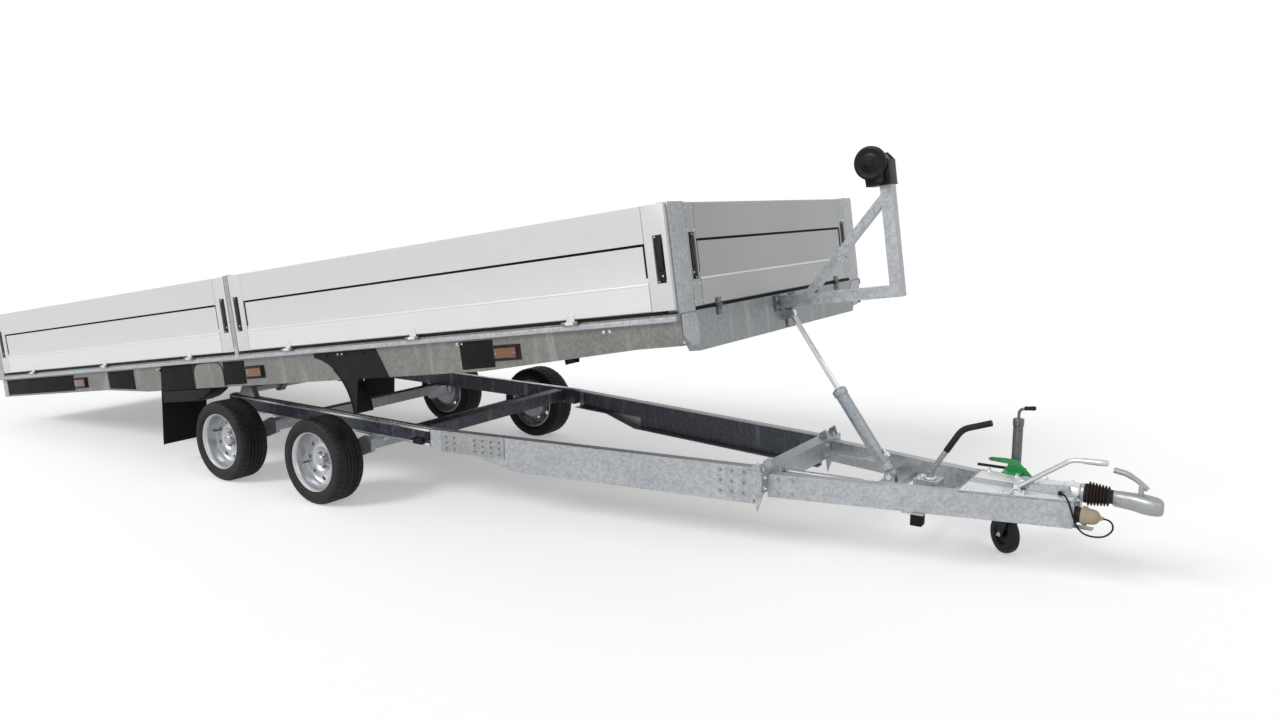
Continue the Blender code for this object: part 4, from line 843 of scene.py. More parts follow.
def boards():
    """Four side panels, the front board and the tailboard, each of which stands for the CAD's."""
    for side, mark in SIDES:
        local = face_frame(0, side * BED_HALF, 0 if side > 0 else math.pi)
        for k, (name, lo, hi) in enumerate(PANELS):
            spots = HINGE_SPOTS[3 * k:3 * k + 3]
            span = (lo, hi) if side > 0 else (-hi, -lo)
            tag = f"panel_{name}_{mark}"
            board_detail(tag, tag, *span, local, "board", tag, [side * x for x in spots])
    board_detail("front_board", "bed", -FRONT_REACH, FRONT_REACH, face_frame(BED_FRONT, 0, -math.pi / 2),
                 "board_painted_shade", "front_board", (), 0.072, 0.008)
    board_detail("tailboard", "tailboard", -BOARD_REACH + 0.005, BOARD_REACH - 0.005,
                 face_frame(BED_TAIL, 0, math.pi / 2), "board_painted_shade", "tailboard", (-0.70, 0.0, 0.70))


def front_posts():
    """Folded channels behind the side panels' ends, their wide face ahead."""
    x1 = BED_FRONT - 0.0004
    x0, a, b = x1 - POST_DEEP, FRONT_REACH + 0.002, POST_OUT
    for side, mark in SIDES:
        outline = [(x0, a), (x1, a), (x1, b), (x0, b), (x0, b - POST_T), (x1 - POST_T, b - POST_T),
                   (x1 - POST_T, a + POST_T), (x0, a + POST_T)]
        outline = [(x, side * y) for x, y in outline]
        post = rounded(outline_block(outline, "z", DECK_Z + 0.0003, BOARD_TOP + 0.005), 0.0015)
        cap = soft_block((x0, x1 - 0.001), (side * (a + 0.001), side * (b - 0.001)),
                         (BOARD_TOP - 0.001, BOARD_TOP + 0.0048), 0.001)
        fit(f"corner_post_{mark}", joined(post, cap), "zinc_chassis", "bed", BED, f"post_front_{mark}")


# Bed side: black strips under the boards as painted shade of the gap, marker lamps, dark plates on the web,
# brackets
LAMP_SPOTS = (-2.680, -0.530, 1.570)
DARK_PLATE_SPANS = ((-3.850, -2.790, 0.004), (-2.285, -1.945, 0.004), (-0.860, -0.640, 0.005),
               (1.250, 1.480, 0.004))
GRID_LOW, GRID_HIGH, GRID_END = -3.874, 2.556, 0.35
BEARER_SPOTS = [GRID_LOW + GRID_END + (GRID_HIGH - GRID_LOW - 2 * GRID_END) * k / 6 for k in range(7)]
WEB_FACE, SHOE_FACE = WEB_Y + 0.0005, BED_HALF + 0.0012


def web_low(x):
    """Underside of the side beam at a place along the bed."""
    points = ((-3.934, 0.609), (-2.334, 0.609), (-1.784, 0.580), (1.386, 0.580), (2.366, 0.636),
              (2.616, 0.639))
    for (a, za), (b, zb) in zip(points, points[1:]):
        if a <= x <= b:
            return za + (zb - za) * (x - a) / (b - a)
    return points[-1][1]


def marker_lamp(tag, x, local):
    """A side-marker lamp in the middle of the web's height."""
    z = (LIP_LOW + web_low(x if local[0][0] > 0 else -x)) / 2 - 0.002
    holder = soft_block(about(x, 0.092), (WEB_Y, WEB_Y + 0.008), about(z, 0.040), 0.004, 3)
    ring = soft_block(about(x, 0.080), (WEB_Y + 0.006, WEB_Y + 0.017), about(z, 0.034), 0.006, 4)
    ring = drilled(ring, block(about(x, 0.073), (WEB_Y + 0.010, WEB_Y + 0.03), about(z, 0.027)))
    fit(f"{tag}_holder", joined(holder, ring), "trim", "bed", BED @ local)
    glass = soft_block(about(x, 0.072), (WEB_Y + 0.009, WEB_Y + 0.020), about(z, 0.026), 0.006, 4)
    fit(f"{tag}_lens", glass, "amber", "bed", BED @ local)
    pins = [((x + dx, WEB_Y + 0.0195, z), OUTWARD) for dx in (-0.062, 0.062)]
    riveted(f"{tag}_screws", pins, "bolt", "bed", BED @ local, 0.0045, 0.002)


def bed_sides():
    """Lamps, black strips of painted shade, dark plates, bolts and shoes along both side beams."""
    for side, mark in SIDES:
        local = side_frame(side)
        for k, x in enumerate(LAMP_SPOTS):
            marker_lamp(f"marker_{mark}_{k}", side * x, local)
        # Black strips in the gap under the boards: painted shade of the gap.
        gap_shade_strips = []
        for _, lo, hi in PANELS:
            stops = [lo] + [h + s for h in HINGE_SPOTS if lo < h < hi for s in (-0.028, 0.028)] + [hi]
            for a, b in zip(stops[::2], stops[1::2]):
                gap_shade_strips.append(soft_block((side * a, side * b), (BED_HALF - 0.020, BED_HALF - 0.001),
                                        (DECK_Z + 0.0004, DECK_Z + 0.0004 + SHADE_STRIP_T), 0.0012))
        fit(f"board_gap_painted_shade_{mark}", joined(*gap_shade_strips), "flap", "bed", BED @ local)
        strips = soft_block((side * -3.930, side * 2.612), (BED_HALF + 0.0002, BED_HALF + 0.0014),
                            (LIP_LOW + 0.001, 0.7748), 0.0005)
        fit(f"lip_strip_{mark}", strips, "zinc_chassis", "bed", BED @ local)
        # Black plates on the web with their pins; the long one at the tail is a painted dark reflection of
        # the beam, the short ones darken the web in patches
        dark_web_plates, pins, top = [], [], LIP_LOW - 0.010
        for lo, hi, thick in DARK_PLATE_SPANS:
            shape = [(lo, web_low(lo) + 0.014), (hi, web_low(hi) + 0.014), (hi, top), (lo, top)]
            dark_web_plates.append(rounded(side_plate(side, shape, WEB_FACE, WEB_Y + thick), 0.0015))
            n = 5 if hi - lo > 1 else 2
            for k in range(n):
                x = lo + 0.03 + (hi - lo - 0.06) * k / (n - 1)
                heights = (LIP_LOW - 0.028, web_low(x) + 0.030)
                pins += [((side * x, WEB_Y + 0.004, z), OUTWARD) for z in heights]
        fit(f"beam_dark_plates_{mark}", joined(*dark_web_plates), "flap", "bed", BED @ local)
        # Bolts of the bearers on the web
        studs = []
        for x in BEARER_SPOTS:
            if not any(abs(x - s) < 0.14 for s in LAMP_SPOTS) and x > -2.6:
                studs += [((side * (x + dx), WEB_FACE, LIP_LOW - 0.020), OUTWARD) for dx in (-0.018, 0.018)]
        riveted(f"dark_plate_pins_{mark}", pins, "trim", "bed", BED @ local, 0.0075, 0.003)
        bolted(f"web_bolts_{mark}", studs, "bright", "bed", BED @ local, 0.0062, 0.0045, 0.0085, 0.0032)
        # End bracket at the beam's tail
        bracket = soft_block((side * -3.930, side * -3.862), (WEB_FACE, WEB_Y + 0.006),
                             (web_low(-3.930) + 0.004, LIP_LOW - 0.004), 0.0025)
        fit(f"beam_brackets_{mark}", joined(bracket), "zinc_chassis", "bed", BED @ local)
        heads = [((side * -3.896, WEB_Y + 0.006, z), OUTWARD) for z in (0.640, 0.722)]
        # Post feet: a folded shoe with bolts at each post
        shoes = []
        for x0, x1 in ((-3.934, -3.839), (CENTRE_X, CENTRE_X + CENTRE_W)):
            span = (side * (x0 + 0.002), side * (x1 - 0.002))
            shoes.append(soft_block(span, (BED_HALF - 0.0030, SHOE_FACE), (LIP_LOW + 0.004, DECK_Z + 0.052),
                                    0.001))
            mids = [(x0 + x1) / 2] if x1 - x0 < 0.05 else [x0 + 0.024, x1 - 0.024]
            heads += [((side * x, SHOE_FACE, z), OUTWARD) for x in mids
                      for z in (DECK_Z - 0.018, DECK_Z + 0.030)]
        fit(f"post_pads_{mark}", joined(*shoes), "zinc_chassis", "bed", BED @ local)
        bolted(f"post_bolts_{mark}", heads, "bright", "bed", BED @ local, 0.0075, 0.0045, 0.0100, 0.0035)


# Deck: board joints, screws along the bearers and sunk lashing rings
SCREW_GAP, LASHING_Y, LASHING_R = 0.17, 0.955, 0.024
LASHING_SPOTS = (-3.30, -2.10, -0.98, 0.20, 1.32, 2.20)


def deck():
    """What lies on the floor: joints, screws, cups and rings."""
    top = DECK_Z + 0.015
    joints = [soft_block(about(x, 0.0015), (-1.030, 1.030), (top - 0.001, top + 0.0006), 0.0003)
              for x in (-2.375, -0.815, 0.745)]
    joints.append(block((-3.90, 2.58), (-0.0012, 0.0012), (top - 0.001, top + 0.0005)))
    fit("deck_joints", joined(*joints), "flap", "bed", BED)
    screws = []
    for x in BEARER_SPOTS + [-3.89, 2.57]:
        screws += [((x, SCREW_GAP * j, top), UP) for j in range(-6, 7)]
    riveted("deck_screws", screws, "bright", "bed", BED, 0.0055, 0.0012)
    trays, rings = [], []
    for side, _ in SIDES:
        for x in LASHING_SPOTS:
            y = side * LASHING_Y
            trays.append(lathe([(0.053, top), (0.050, top + 0.003), (0.038, top + 0.003), (0.030, top),
                                (0.0, top)], 28, (x, y, 0), "z"))
            rings.append(closed_ring([(x + a, y + b, top + 0.006) for a, b in circle(24, LASHING_R)], 0.004))
    fit("lashing_cups", joined(*trays), "bright", "bed", BED)
    fit("lashing_rings", joined(*rings), "zinc_chassis", "bed", BED)


RING_SIDES = 10


def closed_ring(points, radius):
    """A round wire along a closed loop."""
    points = [Vector(p) for p in points]
    work = bmesh.new()
    rings, n = [], len(points)
    normal = (points[1] - points[0]).cross(points[2] - points[1]).normalized()
    for k, spot in enumerate(points):
        way = (points[(k + 1) % n] - points[k - 1]).normalized()
        across = way.cross(normal)
        spots = [spot + radius * (across * c + normal * s) for c, s in circle(RING_SIDES)]
        rings.append([work.verts.new(p) for p in spots])
    for k in range(n):
        a, b = rings[k], rings[(k + 1) % n]
        for i in range(RING_SIDES):
            j = (i + 1) % RING_SIDES
            work.faces.new((a[i], b[i], b[j], a[j]))
    return to_object("ring", work)


# Tail: lamp clusters, blank plate, rubber buffers
LAMP_OUT, LAMP_TOP, LAMP_W, LAMP_H = 0.9897, DECK_Z - 0.050, 0.210, 0.090
LAMP_PARTS = ((0.006, 0.094, "red"), (0.097, 0.150, "amber"), (0.153, 0.204, "clear"))


def tail():
    """What the rear end beam carries."""
    x = BED_TAIL
    for side, mark in SIDES:
        outer = side * LAMP_OUT
        inner = outer - side * LAMP_W
        shell = soft_block((x - 0.012, x - 0.001), (inner, outer), (LAMP_TOP - LAMP_H, LAMP_TOP), 0.005, 3)
        fit(f"lamp_case_{mark}", shell, "trim", "bed", BED, f"tail_lamp_{mark}")
        for k, (a, b, finish) in enumerate(LAMP_PARTS):
            glass = soft_block((x - 0.0295, x - 0.009), (inner + side * a, inner + side * b),
                               (LAMP_TOP - LAMP_H + 0.006, LAMP_TOP - 0.006), 0.005, 4)
            fit(f"lamp_glass_{mark}_{k}", glass, finish, "bed", BED)
    plate = soft_block((x - 0.0115, x - 0.006), (-0.265, 0.265), (0.630, 0.748), 0.003)
    fit("plate_holder", plate, "trim", "bed", BED)
    blank = soft_block((x - 0.0135, x - 0.0112), (-0.258, 0.258), (0.635, 0.743), 0.001)
    fit("blank_plate", blank, "cover", "bed", BED)
    pads = [soft_block((x - 0.022, x - 0.001), about(y, 0.030), (0.650, 0.720), 0.006, 3)
            for y in (-0.50, 0.50)]
    fit("tail_buffers", joined(*pads), "flap", "bed", BED)
    lights = [soft_block((x - 0.030, x - 0.004), about(y, 0.028), (0.7485, 0.7640), 0.004, 3)
              for y in (-0.12, 0.12)]
    fit("plate_lights", joined(*lights), "trim", "bed", BED)
    bolts = [((x - 0.0005, y, z), (-1, 0, 0)) for y in (-0.40, -0.60, 0.40, 0.60, -0.33, 0.33)
             for z in (0.650, 0.752)]
    bolted("tail_bolts", bolts, "bright", "bed", BED, 0.0075, 0.006, 0.011, 0.004)


# Front beam: bolted brackets, folded corners in lighter zinc as a painted highlight, and a black strip under
# the board as painted shade of the gap
BRACKET_Y = 0.700


def bed_front():
    """What the front end beam carries."""
    x = BED_FRONT
    bolts, plates = [], []
    for side in (-1, 1):
        ends = (side * 0.055, side * 0.130)
        plates.append(soft_block((x + 0.0005, x + 0.005), ends, (0.700, 0.782), 0.002))
        bolts += [((x + 0.005, side * 0.098, z), AHEAD) for z in (0.722, 0.762)]
        ends = (side * (BRACKET_Y - 0.026), side * (BRACKET_Y + 0.026))
        plates.append(soft_block((x + 0.0005, x + 0.004), ends, (0.745, 0.826), 0.0018))
        ends = [(x + 0.0075, side * (BRACKET_Y + reach), DECK_Z + 0.003) for reach in (-0.024, 0.024)]
        plates.append(round_bar(*ends, 0.007, 16))
        bolts += [((x + 0.004, side * BRACKET_Y, z), AHEAD) for z in (0.760, 0.814)]
    fit("front_brackets", joined(*plates), "zinc_painted_shade", "bed", BED)
    # Folded corner of the beam, its inner edge rounded, in zinc lighter than the beam: a painted highlight on
    # its rounded end
    corners = []
    for side in (-1, 1):
        edge = [(1.042, DECK_Z - 0.006), (1.042, 0.688), (0.985, 0.632), (0.930, 0.632)]
        edge += [(0.930 - 0.030 * math.sin(t), 0.704 - 0.072 * math.cos(t))
                 for t in (0.5, 1.0, 1.6, 2.1, 2.6)]
        edge = [(side * y, z) for y, z in edge + [(0.930, DECK_Z - 0.006)]]
        corners.append(rounded(outline_block(edge, "x", x + 0.0005, x + 0.0030), 0.0008))
    fit("beam_corners_painted_highlight", joined(*corners), "zinc_chassis", "bed", BED)
    bolted("front_bolts", bolts, "bolt", "bed", BED, 0.0075, 0.006, 0.011, 0.004)
    # A black strip in the gap under the front board: painted shade of the gap.
    gap_shade_strip = soft_block((x - 0.020, x - 0.003), (-FRONT_REACH, FRONT_REACH),
                      (DECK_Z + 0.0004, BOARD_LOW + 0.0075), 0.001)
    fit("front_gap_painted_shade", gap_shade_strip, "flap", "bed", BED)


# Mudguards: rolled edges on the front ones, flaps and shallow guards on the rear wheels
FLAP_X, FLAP_LOW, FLAP_IN, FLAP_OUT, FLAP_T = -1.6200, 0.206, 0.722, 1.0535, 0.005
UNDER, SKIRT_OUT, GUARD_IN, SWEEP = 0.5795, 1.0538, 0.930, math.radians(4.5)
GUARD_BOLTS = ((FLAP_X + 0.03, 0.72), (FLAP_X + 0.03, 0.62), (FLAP_X + 0.20, 0.72), (0.18, 0.725),
               (0.34, 0.725), (0.50, 0.725))


def hang(z):
    """How far the rubber, swept back a little past plumb, falls behind the bed's own upright at a height."""
    return (UNDER - z) * math.tan(TILT + SWEEP)


def flap(mark, side, local):
    """A rear wheel's rubber flap with its skirt on the web, and the guard ahead of it."""
    x, top = FLAP_X, LIP_LOW - 0.0005
    foot = x - hang(FLAP_LOW)
    sheet = [(foot, FLAP_LOW), (foot + FLAP_T, FLAP_LOW), (x + FLAP_T, UNDER - FLAP_T),
             (x + 0.045, UNDER - FLAP_T), (x + 0.045, UNDER), (x, UNDER)]
    sheet = side_plate(side, sheet, FLAP_IN, FLAP_OUT)
    skirt = [(x, UNDER - FLAP_T), (x + 0.402, UNDER - FLAP_T), (x + 0.402, top), (x - hang(top), top)]
    skirt = rounded(side_plate(side, skirt, WEB_Y + 0.0003, SKIRT_OUT), 0.001)
    ribs = []
    for z in (0.545, 0.385, 0.235):
        back = x - hang(z)
        ribs.append(soft_block((side * (back - 0.007), side * (back + 0.002)),
                               (FLAP_IN + 0.02, FLAP_OUT - 0.02), (z, z + 0.008), 0.002))
    fit(f"flap_sheet_{mark}", joined(sheet, skirt, *ribs), "flap", "bed", BED @ local, f"mud_flap_{mark}")
    # Shallow guard over the rear wheel, between the flap and the beam's underside
    shell = [(x + 0.046, 0.5790), (-1.000, 0.5790), (-1.055, 0.5480), (-1.130, 0.5150), (-1.230, 0.4950),
             (x + 0.005, 0.4950), (x + 0.005, 0.5000), (-1.232, 0.5000), (-1.135, 0.5200), (-1.065, 0.5510),
             (-1.030, 0.5730), (x + 0.046, 0.5730)]
    shell = side_plate(side, shell, GUARD_IN, SKIRT_OUT)
    side_view = [(x + 0.008, 0.5788), (-1.000, 0.5788), (-1.055, 0.5480), (-1.130, 0.5150), (-1.230, 0.4950),
                 (x + 0.008, 0.4950)]
    cheek = side_plate(side, side_view, SKIRT_OUT - 0.004, SKIRT_OUT)
    fit(f"rear_guard_{mark}", joined(rounded(shell, 0.001), rounded(cheek, 0.001)), "guard", "bed",
        BED @ local)


def guards():
    """Rolled edges and bolts of the guards, and the web piece above each flap."""
    for side, mark in SIDES:
        local = side_frame(side)
        radius, rise = TYRE_R + 0.085, TYRE_R + 0.115
        for tag, y, thick, steps in (("roll", 0.921, 0.006, 12), ("edge", WEB_Y + 0.0045, 0.0055, 11)):
            arc = [(side * radius * math.cos(t), y, rise + radius * math.sin(t))
                   for t in (math.radians(5 * k) for k in range(steps))]
            fit(f"guard_{tag}_{mark}", bent_bar(arc, thick, 0.001), "guard", "bed", BED @ local)
        flap(mark, side, local)
        spots = [((side * x, WEB_Y + 0.004, z), OUTWARD) for x, z in GUARD_BOLTS]
        bolted(f"guard_bolts_{mark}", spots, "trim", "bed", BED @ local, 0.006, 0.0045, 0.009, 0.003)
        # Pale web piece with rounded upper corners, set on the flap's skirt
        a, b, z0, z1, r = -1.190, -0.868, 0.583, 0.742, 0.070
        backing = block((side * (a - 0.025), side * (a + 0.110)), (WEB_FACE, WEB_Y + 0.0040), (0.583, 0.7465))
        fit(f"web_backing_{mark}", rounded(backing, 0.001), "guard", "bed", BED @ local)
        quarter = [math.pi / 12 * k for k in range(7)]
        shape = [(a, z0), (b, z0)] + [(b - r + r * math.cos(t), z1 - r + r * math.sin(t)) for t in quarter]
        shape += [(a + r - r * math.sin(t), z1 - r + r * math.cos(t)) for t in quarter]
        piece = rounded(side_plate(side, shape, WEB_Y + 0.0045, WEB_Y + 0.0075), 0.001)
        fit(f"web_patch_{mark}", piece, "zinc_web", "bed", BED @ local)


# Winch on its stand
def winch():
    """Frame, round cover, spool with its strap, and a crank folded in beside it."""
    x1, z = STAND_X, MAST_TOP
    cx, cz = x1 - 0.082, z + 0.112
    base = soft_block((x1 - 0.120, x1 + 0.004), (-0.058, 0.058), (z, z + 0.006), 0.0015)
    outline = [(x1 - 0.120, z + 0.004), (x1 + 0.003, z + 0.004), (x1 + 0.003, z + 0.120),
               (x1 - 0.030, z + 0.160), (x1 - 0.105, z + 0.160), (x1 - 0.130, z + 0.100)]
    cheeks = [rounded(outline_block(outline, "y", y, y + 0.006), 0.002) for y in (-0.052, 0.046)]
    tray = soft_block((x1 - 0.020, x1 + 0.004), (-0.048, 0.048), (z + 0.006, z + 0.122), 0.003)
    fit("winch_frame", joined(base, tray, *cheeks), "black", "bed", BED, "winch_body")
    ring = [(0.0, 0.050), (0.030, 0.050), (0.060, 0.046), (0.064, 0.0465), (0.078, 0.0480), (0.082, 0.0520),
            (0.082, 0.0700), (0.078, 0.0760), (0.070, 0.0790), (0.062, 0.0770), (0.048, 0.0765),
            (0.044, 0.0790), (0.030, 0.0800), (0.026, 0.0840), (0.019, 0.0860), (0.017, 0.0876),
            (0.0, 0.0876)]
    fit("winch_cover", lathe(ring, 64, (cx, 0, cz), "y", -1), "black", "bed", BED)
    fit("winch_hub", lathe([(0.0, 0.0870), (0.0105, 0.0870), (0.0105, 0.0885), (0.0, 0.0885)], 6, (cx, 0, cz),
                           "y", -1), "trim", "bed", BED)
    spool = mirrored([(0.0, -0.044), (0.060, -0.044), (0.060, -0.041), (0.020, -0.041)])
    fit("winch_spool", lathe(spool, 40, (cx, 0, cz), "y"), "zinc_bed", "bed", BED)
    turns = mirrored([(0.021, -0.0385), (0.046, -0.0385), (0.0475, -0.030)])
    fit("winch_strap", lathe(turns, 40, (cx, 0, cz), "y"), "strap", "bed", BED)
    # Pinion shaft and a folded-in crank, inside the cover's height
    px, pz = x1 - 0.030, z + 0.062
    shaft = round_bar((px, -0.072, pz), (px, 0.064, pz), 0.008, 16)
    arm = soft_block(about(px, 0.011), (-0.0795, -0.0715), (pz - 0.048, pz + 0.010), 0.003, 3)
    fit("winch_crank", joined(shaft, arm), "trim", "bed", BED)
    grip = [(0.0, 0.0), (0.009, 0.0), (0.011, 0.004), (0.0095, 0.020), (0.0115, 0.040), (0.009, 0.0475),
            (0.0, 0.0475)]
    fit("winch_grip", along(lathe(grip, 20, axis="z"), (px, -0.0790, pz - 0.040), (px, -0.0870, pz - 0.040)),
        "trim", "bed", BED)
    spots = ((x1 - 0.108, z + 0.020), (x1 - 0.010, z + 0.030), (x1 - 0.035, z + 0.145))
    bolts = [((x, -0.0525, height), (0, -1, 0)) for x, height in spots]
    bolts += [((x, 0.0525, height), OUTWARD) for x, height in (*spots, (cx, cz))]
    bolted("winch_bolts", bolts, "trim", "bed", BED, 0.006, 0.004, 0.009, 0.003)


# Chassis: splice plates, end caps, cross member bolts
RAIL_TAIL, RAIL_NOSE, BAR_ROOT_X, AXLE_PAD = -1.328, 0.620, 2.680, 0.150
SHADE_PLATE_Y = RAIL_W / 2 - 0.0064


def front_beam_y(x):
    """Middle of the converging front beam at a place along the chassis."""
    return RAIL_Y + (NOSE_Y - RAIL_Y) * (x - RAIL_NOSE) / (NOSE_X - RAIL_NOSE)


def drawbar_y(x):
    """Middle of the converging drawbar rail at a place along the chassis."""
    return NOSE_Y + (BAR_TIP_Y - NOSE_Y) * (x - BAR_ROOT_X) / (BAR_TIP_X - BAR_ROOT_X)


def leaning(x0, x1, y_at, z0, z1, off, thick, side):
    """A plate laid on a converging beam's face."""
    a, b = y_at(x0) + off, y_at(x1) + off
    shape = [(side * x0, a), (side * x1, b), (side * x1, b + thick), (side * x0, a + thick)]
    return outline_block(shape, "z", z0, z1)


def chassis():
    """Flanges with a painted highlight, painted shade plates, caps, splices, pads and bolts of both rails."""
    for side, mark in SIDES:
        local = side_frame(side)
        place = CHASSIS @ local
        out = RAIL_Y + RAIL_W / 2
        # Rolled flanges and a strip along the rail, their bright finish a painted highlight, and dark plates
        # inside the front beam as painted shade
        length = (side * RAIL_TAIL, side * (RAIL_NOSE - 0.002))
        strips = [soft_block(length, (out + 0.0003, out + 0.006), (z, z + 0.014), 0.002)
                  for z in (0.4555, 0.3705)]
        strips.append(soft_block(length, (out - 0.052, out - 0.010), (0.4703, 0.4745), 0.0015))
        fit(f"rail_flanges_painted_highlight_{mark}", joined(*strips), "bright", "chassis", place)
        # Dark plates inside the front beam's pocket: painted shade.
        shade_plate = leaning(0.660, NOSE_X - 0.020, front_beam_y, 0.3505, 0.4645, SHADE_PLATE_Y, 0.002, side)
        deep = leaning(1.200, NOSE_X - 0.020, front_beam_y, 0.2855, 0.3505, SHADE_PLATE_Y, 0.002, side)
        fit(f"beam_painted_shade_{mark}", joined(shade_plate, deep), "zinc_painted_shade", "chassis", place)
        caps = [((0.586, 0.619), (out + 0.0004, out + 0.0115), (0.405, 0.4545), 0.003),
                ((0.498, 0.575), (out + 0.0004, out + 0.0260), (0.374, 0.4120), 0.004),
                ((-1.340, -1.3303), (out - 0.058, out - 0.002), (0.3725, 0.4675), 0.003)]
        caps = [soft_block((side * lo, side * hi), y, z, edge) for (lo, hi), y, z, edge in caps]
        fit(f"rail_caps_{mark}", joined(*caps), "trim", "chassis", place)
        # Splice: outer plate over rail and beam, rows of bolts
        lower = leaning(0.700, 1.130, front_beam_y, 0.3485, 0.4640, RAIL_W / 2 + 0.0004, 0.005, side)
        fit(f"splice_plate_{mark}", rounded(lower, 0.0015), "zinc_bed", "chassis", place)
        lean = Vector((side * (RAIL_Y - NOSE_Y) / (NOSE_X - RAIL_NOSE), 1, 0)).normalized()
        rows = [(x, z) for x in (0.735, 0.790, 0.930, 0.985, 1.040, 1.095) for z in (0.372, 0.406, 0.440)]
        bolts = [((side * x, front_beam_y(x) + RAIL_W / 2 + 0.0054, z), tuple(lean)) for x, z in rows]
        bolts += [((side * x, front_beam_y(x) + RAIL_W / 2 + 0.0004, z), tuple(lean))
                  for x in (2.420, 2.480, 2.545) for z in (0.330, 0.385, 0.440)]
        bolts += [((side * x, drawbar_y(x) + 0.0304, z), (side * 0.224, 0.975, 0)) for x in (2.730, 2.800)
                  for z in (0.355, 0.425)]
        bolted(f"beam_bolts_{mark}", bolts, "bolt", "chassis", place, 0.0080, 0.007, 0.0115, 0.005)
        # Axle pads under the rails
        hangers = []
        for axle_x in (0.0, -AXLE_GAP):
            mid = axle_x + AXLE_PAD
            span = (side * (mid - 0.075), side * (mid + 0.075))
            hangers.append(soft_block(span, about(RAIL_Y, 0.024), (0.3585, 0.3695), 0.002))
        fit(f"axle_pads_{mark}", joined(*hangers), "zinc_chassis", "chassis", place)
        nuts = [((side * (axle_x + AXLE_PAD + dx), y, 0.3585), (0, 0, -1)) for axle_x in (0.0, -AXLE_GAP)
                for dx in (-0.058, 0.058) for y in about(RAIL_Y, 0.012)]
        bolted(f"axle_nuts_{mark}", nuts, "bright", "chassis", place, 0.008, 0.007, 0.011, 0.005)
        # Closing plate on the tip of the drawbar rail
        tip = leaning(BAR_TIP_X - 0.0395, BAR_TIP_X - 0.0005, drawbar_y, 0.3308, 0.4492, RAIL_W / 2 + 0.0004,
                      0.0025, side)
        fit(f"drawbar_tip_{mark}", rounded(tip, 0.0008), "zinc_chassis", "chassis", place)


def cross_details():
    """Bolts of the front cross member, the brake tubes ahead of it, a plate and block under the near rail."""
    bolts = []
    for side in (-1, 1):
        for y in (0.470, 0.300):
            bolts += [((2.6805, side * y, z), AHEAD) for z in (0.385, 0.440)]
        bolts += [((x, side * 0.448, 0.4705), UP) for x in (2.622, 2.658)]
    bolted("cross_bolts", bolts, "bright", "chassis", CHASSIS, 0.0085, 0.007, 0.0125, 0.005)
    tubes = [round_bar((2.6815, side * 0.235, 0.420), (3.090, side * 0.205, 0.420), 0.014)
             for side in (-1, 1)]
    fit("brake_tubes", joined(*tubes), "zinc_chassis", "chassis", CHASSIS)
    y = -drawbar_y(3.37)
    plate = soft_block((3.315, 3.420), about(y, 0.035), (0.3195, 0.3297), 0.0015)
    fit("rail_plate_R", plate, "zinc_chassis", "chassis", CHASSIS)
    foot = soft_block((3.356, 3.412), about(y, 0.028), (0.2620, 0.3193), 0.005, 3)
    fit("rail_block_R", foot, "flap", "chassis", CHASSIS)


# Ram: barrel with its gland, oil port, foot washers
def ram_details():
    """The barrel's skin is made upright, then laid from the foot to the bed's eye."""
    eye = TILTED @ RAM_EYE_LEVEL
    way = (eye - RAM_FOOT).normalized()
    local = Matrix.Translation(RAM_FOOT) @ Vector((0, 0, 1)).rotation_difference(way).to_matrix().to_4x4()
    shell = [(0.0147, 0.060), (0.0300, 0.060), (0.0324, 0.066), (0.0324, 0.440), (0.0330, 0.446),
             (0.0330, 0.470), (0.0360, 0.474), (0.0378, 0.478), (0.0378, 0.502), (0.0350, 0.508),
             (0.0260, 0.510), (0.0240, 0.5145), (0.0185, 0.5145), (0.0170, 0.5110), (0.0147, 0.5110)]
    skin = lathe(shell, 48, axis="z")
    skin.data.transform(local)
    fit("ram_shell", skin, "ram_blue", "ram_barrel", CHASSIS)
    port = soft_block((0.028, 0.052), (-0.012, 0.012), (0.085, 0.112), 0.003, 3)
    port = joined(port, round_bar((0.040, 0, 0.112), (0.040, 0, 0.128), 0.0075, 6))
    port.data.transform(local)
    fit("ram_port", port, "bright", "ram_barrel", CHASSIS)
    washers = []
    for side in (-1, 1):
        washers.append(lathe([(0.0, 0.0), (0.015, 0.0), (0.016, 0.0012), (0.016, 0.003), (0.010, 0.0032),
                              (0.009, 0.0062), (0.0, 0.0065)], 24, (RAM_FOOT.x, side * 0.0305, RAM_FOOT.z),
                             "y", side))
    fit("ram_foot_washers", joined(*washers), "bright", "chassis", CHASSIS)


# Pump: cap, plugs and a padded lever
PUMP_TAIL, PUMP_LONG = 3.280, 0.150


